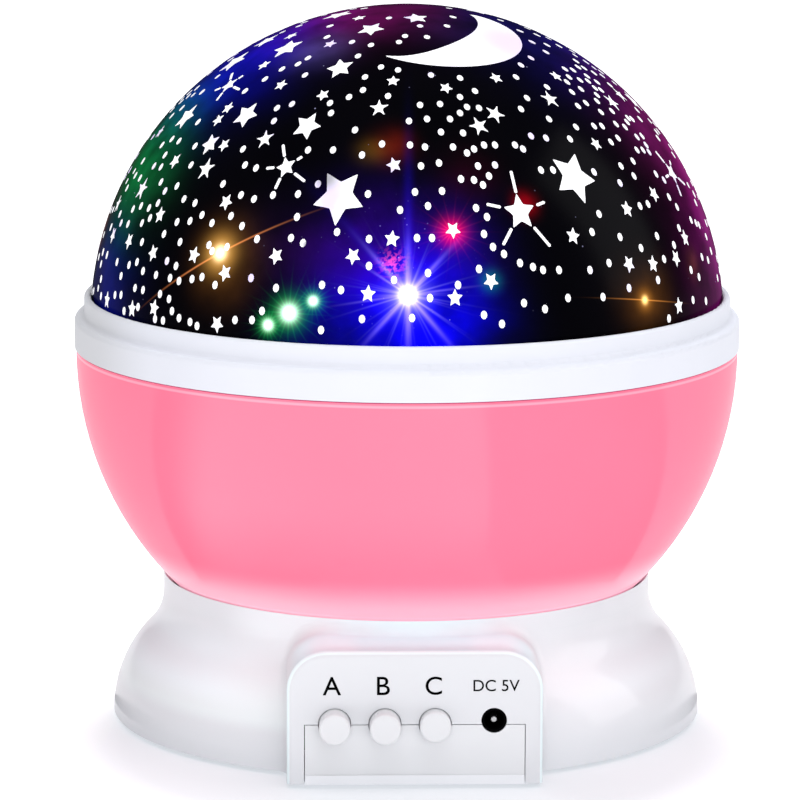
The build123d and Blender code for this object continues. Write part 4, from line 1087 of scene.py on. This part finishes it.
for pixel, size, colour, strength in patches.values():
    sky.add(dimmed(shade(*colour), strength), sky.spot(seen_on_dome(pixel)[0], size))
print(len(patches), "patches of light on the near side")

# %% Patches on the far side
far_patches = {
    "far_blue": (150, 30, 20, (12, 24, 190), 0.5), "far_plum": (-140, 45, 18, (118, 18, 100), 0.6),
    "far_green": (118, 24, 14, (8, 118, 70), 0.6), "far_violet": (180, 18, 16, (70, 12, 150), 0.6),
    "far_navy": (-165, 62, 18, (16, 20, 110), 0.6), "far_amber": (-112, 16, 8, (140, 84, 24), 0.5),
}
for longitude, latitude, size, colour, strength in far_patches.values():
    turn, rise = np.radians(longitude), np.radians(latitude)
    facing = np.array([np.cos(rise) * np.sin(turn), -np.cos(rise) * np.cos(turn), np.sin(rise)])
    sky.add(dimmed(shade(*colour), strength), sky.spot(facing, size))
cloud_size, least_light, most_light = 15.0, 0.35, 1.65
clouds = sky.ramp(sky.noise(cloud_size, 5.0), 0.25, 0.75) * (most_light - least_light) + least_light
sky.light = sky.vector("SCALE", {0: sky.light, "Scale": clouds})
print(len(far_patches), "patches on the far side, all of them cloudy")

# %% [markdown]
# ### Star bursts
#
# Seven lamps show through the print as painted glints. Most are a small bright spot in a wider
# coloured one; the red one is only colour, because a star window lies over it. The main lamp and the
# green and red ones have painted rays all round, and the main, warm and amber ones throw single long
# painted streaks. So there are three tables, one for each kind of painted glint, and one loop that
# adds them all.

# %% Star bursts over the lamps
lamp_pixels = {"main": (408, 295), "warm": (220, 253), "amber": (645, 300), "red": (452, 232),
               "green": (289, 313), "green_right": (313, 301), "green_left": (268, 325)}
green_sizes = {"green": 1.35, "green_right": 0.75, "green_left": 0.85}
lamps = {name: seen_on_dome(pixel)[0] for name, pixel in lamp_pixels.items()}

# lamp, colour, strength, then the size of the spot
glows = [("main", (255, 255, 255), 4.0, 1.3), ("main", (200, 190, 255), 0.7, 2.8),
         ("warm", (255, 236, 190), 3.0, 1.2), ("warm", (255, 190, 90), 0.85, 3.0),
         ("amber", (255, 214, 130), 2.4, 0.7), ("amber", (220, 140, 50), 0.55, 1.8),
         ("red", (255, 0, 36), 1.1, 2.2)]
# lamp, colour, strength, then the number of rays, their thinness, length and turn
bursts = [("main", (190, 176, 255), 0.7, 14, 1.6, 3.0, 9), ("main", (170, 150, 255), 0.6, 22, 0.7, 2.6, 0),
          ("red", (255, 60, 110), 0.7, 18, 1.2, 1.5, 0)]
for name, size in green_sizes.items():
    glows += [(name, (230, 255, 240), 3.0, size), (name, (0, 190, 80), 0.9, 1.9 * size)]
    bursts += [(name, (40, 225, 110), 0.9, 20, 1.0, 1.1 * size, 0)]
# lamp, colour, strength, then the turn, width and length of the streak
streaks = [("warm", (255, 150, 84), 0.9, 31, 0.16, 12.0), ("amber", (255, 160, 70), 0.7, -9, 0.11, 7.0)]
streaks += [("main", (176, 150, 255), *ray) for ray in [
    (1.1, 90, 0.48, 6.5), (0.95, 48, 0.4, 7.0), (0.9, 131, 0.42, 7.5), (0.6, 147, 0.18, 5.5),
    (0.5, 8, 0.2, 8.0), (0.5, 167, 0.15, 5.0), (0.5, 183, 0.18, 4.5), (0.5, 69, 0.15, 3.2)]]
streaks += [("main", (40, 20, 255), *ray) for ray in [
    (0.5, 90, 0.9, 17.0), (0.35, 131, 1.1, 14.0), (0.35, 48, 0.8, 10.0)]]

# Painted glints: the spots, rays and streaks are added to the dome's light.
for draw, rows in ((sky.spot, glows), (sky.burst, bursts), (sky.streak, streaks)):
    for lamp, colour, strength, *look in rows:
        sky.add(shade(*colour), draw(lamps[lamp], *look) * strength)
print(len(glows), "glows,", len(bursts), "bursts and", len(streaks), "streaks over", len(lamps), "lamps")

# %% [markdown]
# ### Star dust and gloss
#
# Fine dust fills the black between the windows. A Voronoi pattern gives the distance to the nearest of
# many strewn grains, and a ramp turns all but the closest into black. The sky then gets its ink, an
# even polish and the light that was added up, which is the dome's emission.

# %% Star dust and the print's gloss
dust_apart, fine_apart, speckle_size = 3.6, 1.5, 0.7
violet_pixel, violet_reach = (398, 262), 8.0
rose_pixel, rose_reach = (393, 263), 1.9
dust = sky.ramp(sky.grains(dust_apart), 0.055, 0.02) * sky.ramp(sky.noise(17.0), 0.48, 0.62)
sky.add(shade(180, 180, 225), dust * 0.9)
violet_spot, rose_spot = (sky.spot(seen_on_dome(pixel)[0], reach) for pixel, reach in
                          ((violet_pixel, violet_reach), (rose_pixel, rose_reach)))
fine_dust = sky.ramp(sky.grains(fine_apart), 0.12, 0.05) * violet_spot
sky.add(shade(170, 150, 255), fine_dust * 0.8)
speckled = sky.ramp(sky.noise(speckle_size, 1.0), 0.42, 0.6)
sky.add(shade(255, 76, 110), rose_spot * speckled * 1.1)
ink = sky.mix(sky.noise(20.0), shade(2, 2, 4), shade(6, 5, 9))
sky.set({"Base Color": ink, "Emission Color": sky.light, "Roughness": sky.noise(12.0) * 0.05 + 0.09})
sky.bump(sky.noise(5.0, 1.0), 0.003)
finishes["star_dome"] = sky
print(len(sky.nodes), "nodes in the sky")

# %% [markdown]
# ## Marks on the console
#
# Each button has a plain letter over it, and the socket has its voltage. They are printed, so they
# are raised by less than a tenth of a millimetre. Blender's own lettering is turned into a mesh first
# and then laid on the console's front by moving the mesh's own points. The two
# sides and the rim of such a mesh aren't joined, so equal points are merged before it is laid down.

# %% Marks
front_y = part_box("base_shell")[0].y
mark_middle_z = 19.7
mark_proud = 0.04
mark_boldness = 0.004
letter_thickness = 0.02
merge_distance = 1e-5
# words, the part under them, mm aside from its middle and the height of a capital
marks = {"mark_a": ("A", "button_cap_a", -0.5, 3.5), "mark_b": ("B", "button_cap_b", -0.3, 3.5),
         "mark_c": ("C", "button_cap_c", -0.3, 3.5), "mark_dc": ("DC 5V", "dc_socket_body", 0.4, 2.2)}
ink_black = moulded("mark_ink", shade(6, 6, 7), 0.5, specular=0.0, drift=0.2, cloud=1.2, peel=0.3,
                    depth=0.002)


def lettering(name, words):
    """A closed mesh of words, about one unit high, with its faces outward."""
    curve = bpy.data.curves.new(name, "FONT")
    curve.body = words
    curve.align_x = "CENTER"
    curve.extrude = letter_thickness
    curve.offset = mark_boldness
    text = bpy.data.objects.new(name + "_text", curve)
    mesh = bpy.data.meshes.new_from_object(text)
    bpy.data.objects.remove(text)
    solid = bmesh.new()
    solid.from_mesh(mesh)
    bmesh.ops.remove_doubles(solid, verts=solid.verts, dist=merge_distance)
    bmesh.ops.recalc_face_normals(solid, faces=solid.faces)
    solid.to_mesh(mesh)
    solid.free()
    mesh.materials.clear()
    return mesh


def mark(name, words, under, aside, cap_height):
    """Lays lettering cap_height mm tall on the console's front, aside mm from the middle of a part:
    across becomes X, up becomes Z, and front and back stand mark_proud before and behind the face."""
    mesh = lettering(name, words)
    points = np.zeros(len(mesh.vertices) * 3)
    mesh.vertices.foreach_get("co", points)
    points = points.reshape(-1, 3)
    low, high = points.min(axis=0), points.max(axis=0)
    flat = (points - (low + high) / 2) * (cap_height * MM / (high[1] - low[1]))
    box_low, box_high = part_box(under)
    middle_x = (box_low.x + box_high.x) / 2 + aside * MM
    depth = np.where(points[:, 2] > 0, -mark_proud, mark_proud) * MM
    placed = np.stack([flat[:, 0] + middle_x, front_y + depth, flat[:, 1] + mark_middle_z * MM], axis=1)
    mesh.vertices.foreach_set("co", placed.ravel())
    mesh.update()
    declare(name, mesh, "base", ink_black)
    return len(mesh.polygons)


print("mark faces:", {name: mark(name, *facts) for name, facts in marks.items()})

# %% [markdown]
# ## Every part gets its finish
#
# The packed record says which material slot each part belongs to, and each slot has one finish above.

# %% Dress the parts
slot_of = {part["node"]: part["material_slot"] for part in frame["record"]["subparts"]}
for name, part in parts.items():
    for material_slot in part.material_slots:
        material_slot.material = finishes[slot_of[name]].material
print(len(parts), "parts in", len(set(slot_of.values())), "finishes")

# %% [markdown]
# ## Studio floor
#
# A white thing on a white floor needs a floor that stays white and yet takes a soft shadow. The paper
# glows by itself, less in a small round patch under the light, so the contact shadow is kept there and
# everything further out melts into white. In that patch the paper is also painted darker and a
# little bluer, as a painted shadow.

# %% Studio floor
def stage_card(name, corners, finish):
    """One flat face of the stage; the stage is no piece of the light."""
    mesh = bpy.data.meshes.new(name)
    mesh.from_pydata(corners, [], [(0, 1, 2, 3)])
    mesh.materials.append(finish.material)
    card = bpy.data.objects.new(name, mesh)
    bpy.context.scene.collection.objects.link(card)
    return card


floor_half = 12.0
shadow_middle, shadow_edges = (0.0, -0.03, 0.0), (54.0, 80.0)
near_glow, far_glow = (0.455, 0.475, 0.5, 1), (0.95, 0.95, 0.95, 1)
near_tone, far_tone = shade(170, 170, 172), shade(176, 176, 178)
paper = Finish("studio_paper", {"Specular IOR Level": 0.2, "Emission Strength": 1.0})
# Painted shadow: near the light the paper is darker and bluer and glows less.
outside = paper.ramp(paper.distance(shadow_middle), *shadow_edges)
paper.set({"Base Color": paper.mix(outside * (0.9 + 0.1 * paper.noise(60.0)), near_tone, far_tone),
           "Emission Color": paper.mix(outside, near_glow, far_glow),
           "Roughness": paper.noise(8.0) * 0.1 + 0.5})
corners = [(x * floor_half, y * floor_half, 0) for x, y in ((-1, -1), (1, -1), (1, 1), (-1, 1))]
stage_card("studio_floor", corners, paper)
print("floor", 2 * floor_half, "m wide")

# %% [markdown]
# ## Air of the studio
#
# White things need light that is bright but not even, or they lose their shape. The air is a white
# dome that is a little brighter on the right and dimmer at both sides. It lights everything softly but
# shows only faintly in reflections, so the black dome of the light stays black.

# %% Surrounding light
air_light, air_right, air_sides = 0.88, 0.12, 0.56
air_seen = 1.2
air_mirrored = 0.2
world = bpy.data.worlds.new("studio_world")
bpy.context.scene.world = world
air = NodeTree(world)
air.nodes.clear()
seen, mirrored = (air.node("ShaderNodeLightPath", out=name) for name in ("Is Camera Ray", "Is Glossy Ray"))
direction = air.node("ShaderNodeTexCoord", out=0)
sideways = air.node("ShaderNodeSeparateXYZ", None, {0: direction})
lit_air = air_light + sideways * air_right - sideways * sideways * air_sides
strength = (1 - seen) * (1 - mirrored) * lit_air + seen * air_seen + mirrored * air_mirrored
glow = air.node("ShaderNodeBackground", None, {"Color": shade(250, 250, 255), "Strength": strength})
output = air.nodes.new("ShaderNodeOutputWorld")
air.feed(output.inputs["Surface"], glow)
bpy.context.scene.view_settings.view_transform = "Standard"
print("the air is", air_light, "bright,", air_seen, "to the eye and", air_mirrored, "in gloss")

# %% [markdown]
# ## Softboxes
#
# A big softbox overhead and one in front give the form its light and shade, a low one fills the foot,
# a narrow one by the console lights the neck in the shadow of the bowl, and one behind keeps the back
# from going dark. They would leave square highlights, so they are hidden from gloss, and a card at the
# right, which only shows in gloss, draws the one long soft highlight on the bowl and the dome.

# %% Softboxes
def softbox(name, place, aim, size, radiance, card=False, spread=180):
    """A softbox of a width and a height in metres. Its power is radiance * pi * area. A softbox lights
    things without showing in their gloss, and a card is the reverse: it only shows in the gloss."""
    data = bpy.data.lights.new(name, "AREA")
    data.shape = "RECTANGLE"
    data.size, data.size_y = size
    data.spread = np.radians(spread)
    data.energy = radiance * np.pi * size[0] * size[1]
    lamp = bpy.data.objects.new(name, data)
    bpy.context.scene.collection.objects.link(lamp)
    lamp.location = place
    lamp.rotation_euler = (Vector(aim) - Vector(place)).to_track_quat("-Z", "Y").to_euler()
    lamp.visible_glossy = card
    lamp.visible_diffuse = not card
    lamp.visible_camera = False
    return round(data.energy, 3)


ball_middle = (0.0, 0.0, 0.075)
powers = [softbox("top_softbox", (0.05, -0.1, 1.1), ball_middle, (0.9, 0.9), 2.5),
          softbox("front_softbox", (0.2, -1.2, 0.38), ball_middle, (0.9, 0.6), 1.5),
          softbox("low_fill", (0.05, -0.9, 0.08), (0.0, 0.0, 0.03), (0.8, 0.12), 1.0),
          softbox("neck_kicker", (0.0, -0.0605, 0.037), (0.0, -0.051, 0.0275), (0.09, 0.006), 0.8, spread=80),
          softbox("back_fill", (0.3, 1.2, 0.5), ball_middle, (0.9, 0.6), 1.6),
          softbox("side_card", (0.85, 0.0, 0.55), ball_middle, (0.5, 0.75), 4.6, card=True)]
print("softboxes give", powers, "W")

# %% [markdown]
# ## Glowing card on the table
#
# The lower half of a glossy ball mirrors the table in front of it. In a studio a white card is laid
# there, to brighten that reflection on one side and to give it a clean edge on the other. This card
# glows in a wedge and shows in nothing but gloss.

# %% Glowing wedge on the table
wedge_reach = 0.9
wedge_height = 0.003
# Edges and fading are turns in degrees from the left round to the front; the start is mm from the axis.
left_edge, right_edge, start = (6, 28), (114, 111), (52, 112)
fading_turn, fading_share = (20, 80), 0.27
card = Finish("table_card", {"Base Color": shade(0, 0, 0), "Specular IOR Level": 0.0,
                             "Emission Strength": 4.4})
turned = (-card.axis("Y")).math("ARCTAN2", -card.axis("X")) * (180 / np.pi)
wedge = card.ramp(turned, *left_edge) * card.ramp(turned, *right_edge)
wedge = wedge * card.ramp(card.distance((0.0, 0.0, 0.0)), *start)
card.set({"Emission Color": wedge * (1 - card.ramp(turned, *fading_turn) * fading_share),
          "Roughness": card.noise(9.0) * 0.1 + 0.5})
corners = [(x * wedge_reach, y * wedge_reach, wedge_height) for x, y in ((-1, -1), (1, -1), (1, 0), (-1, 0))]
table_card = stage_card("table_card", corners, card)
table_card.visible_camera = table_card.visible_diffuse = table_card.visible_shadow = False
print("the wedge reaches", wedge_reach, "m to the front")

# %% [markdown]
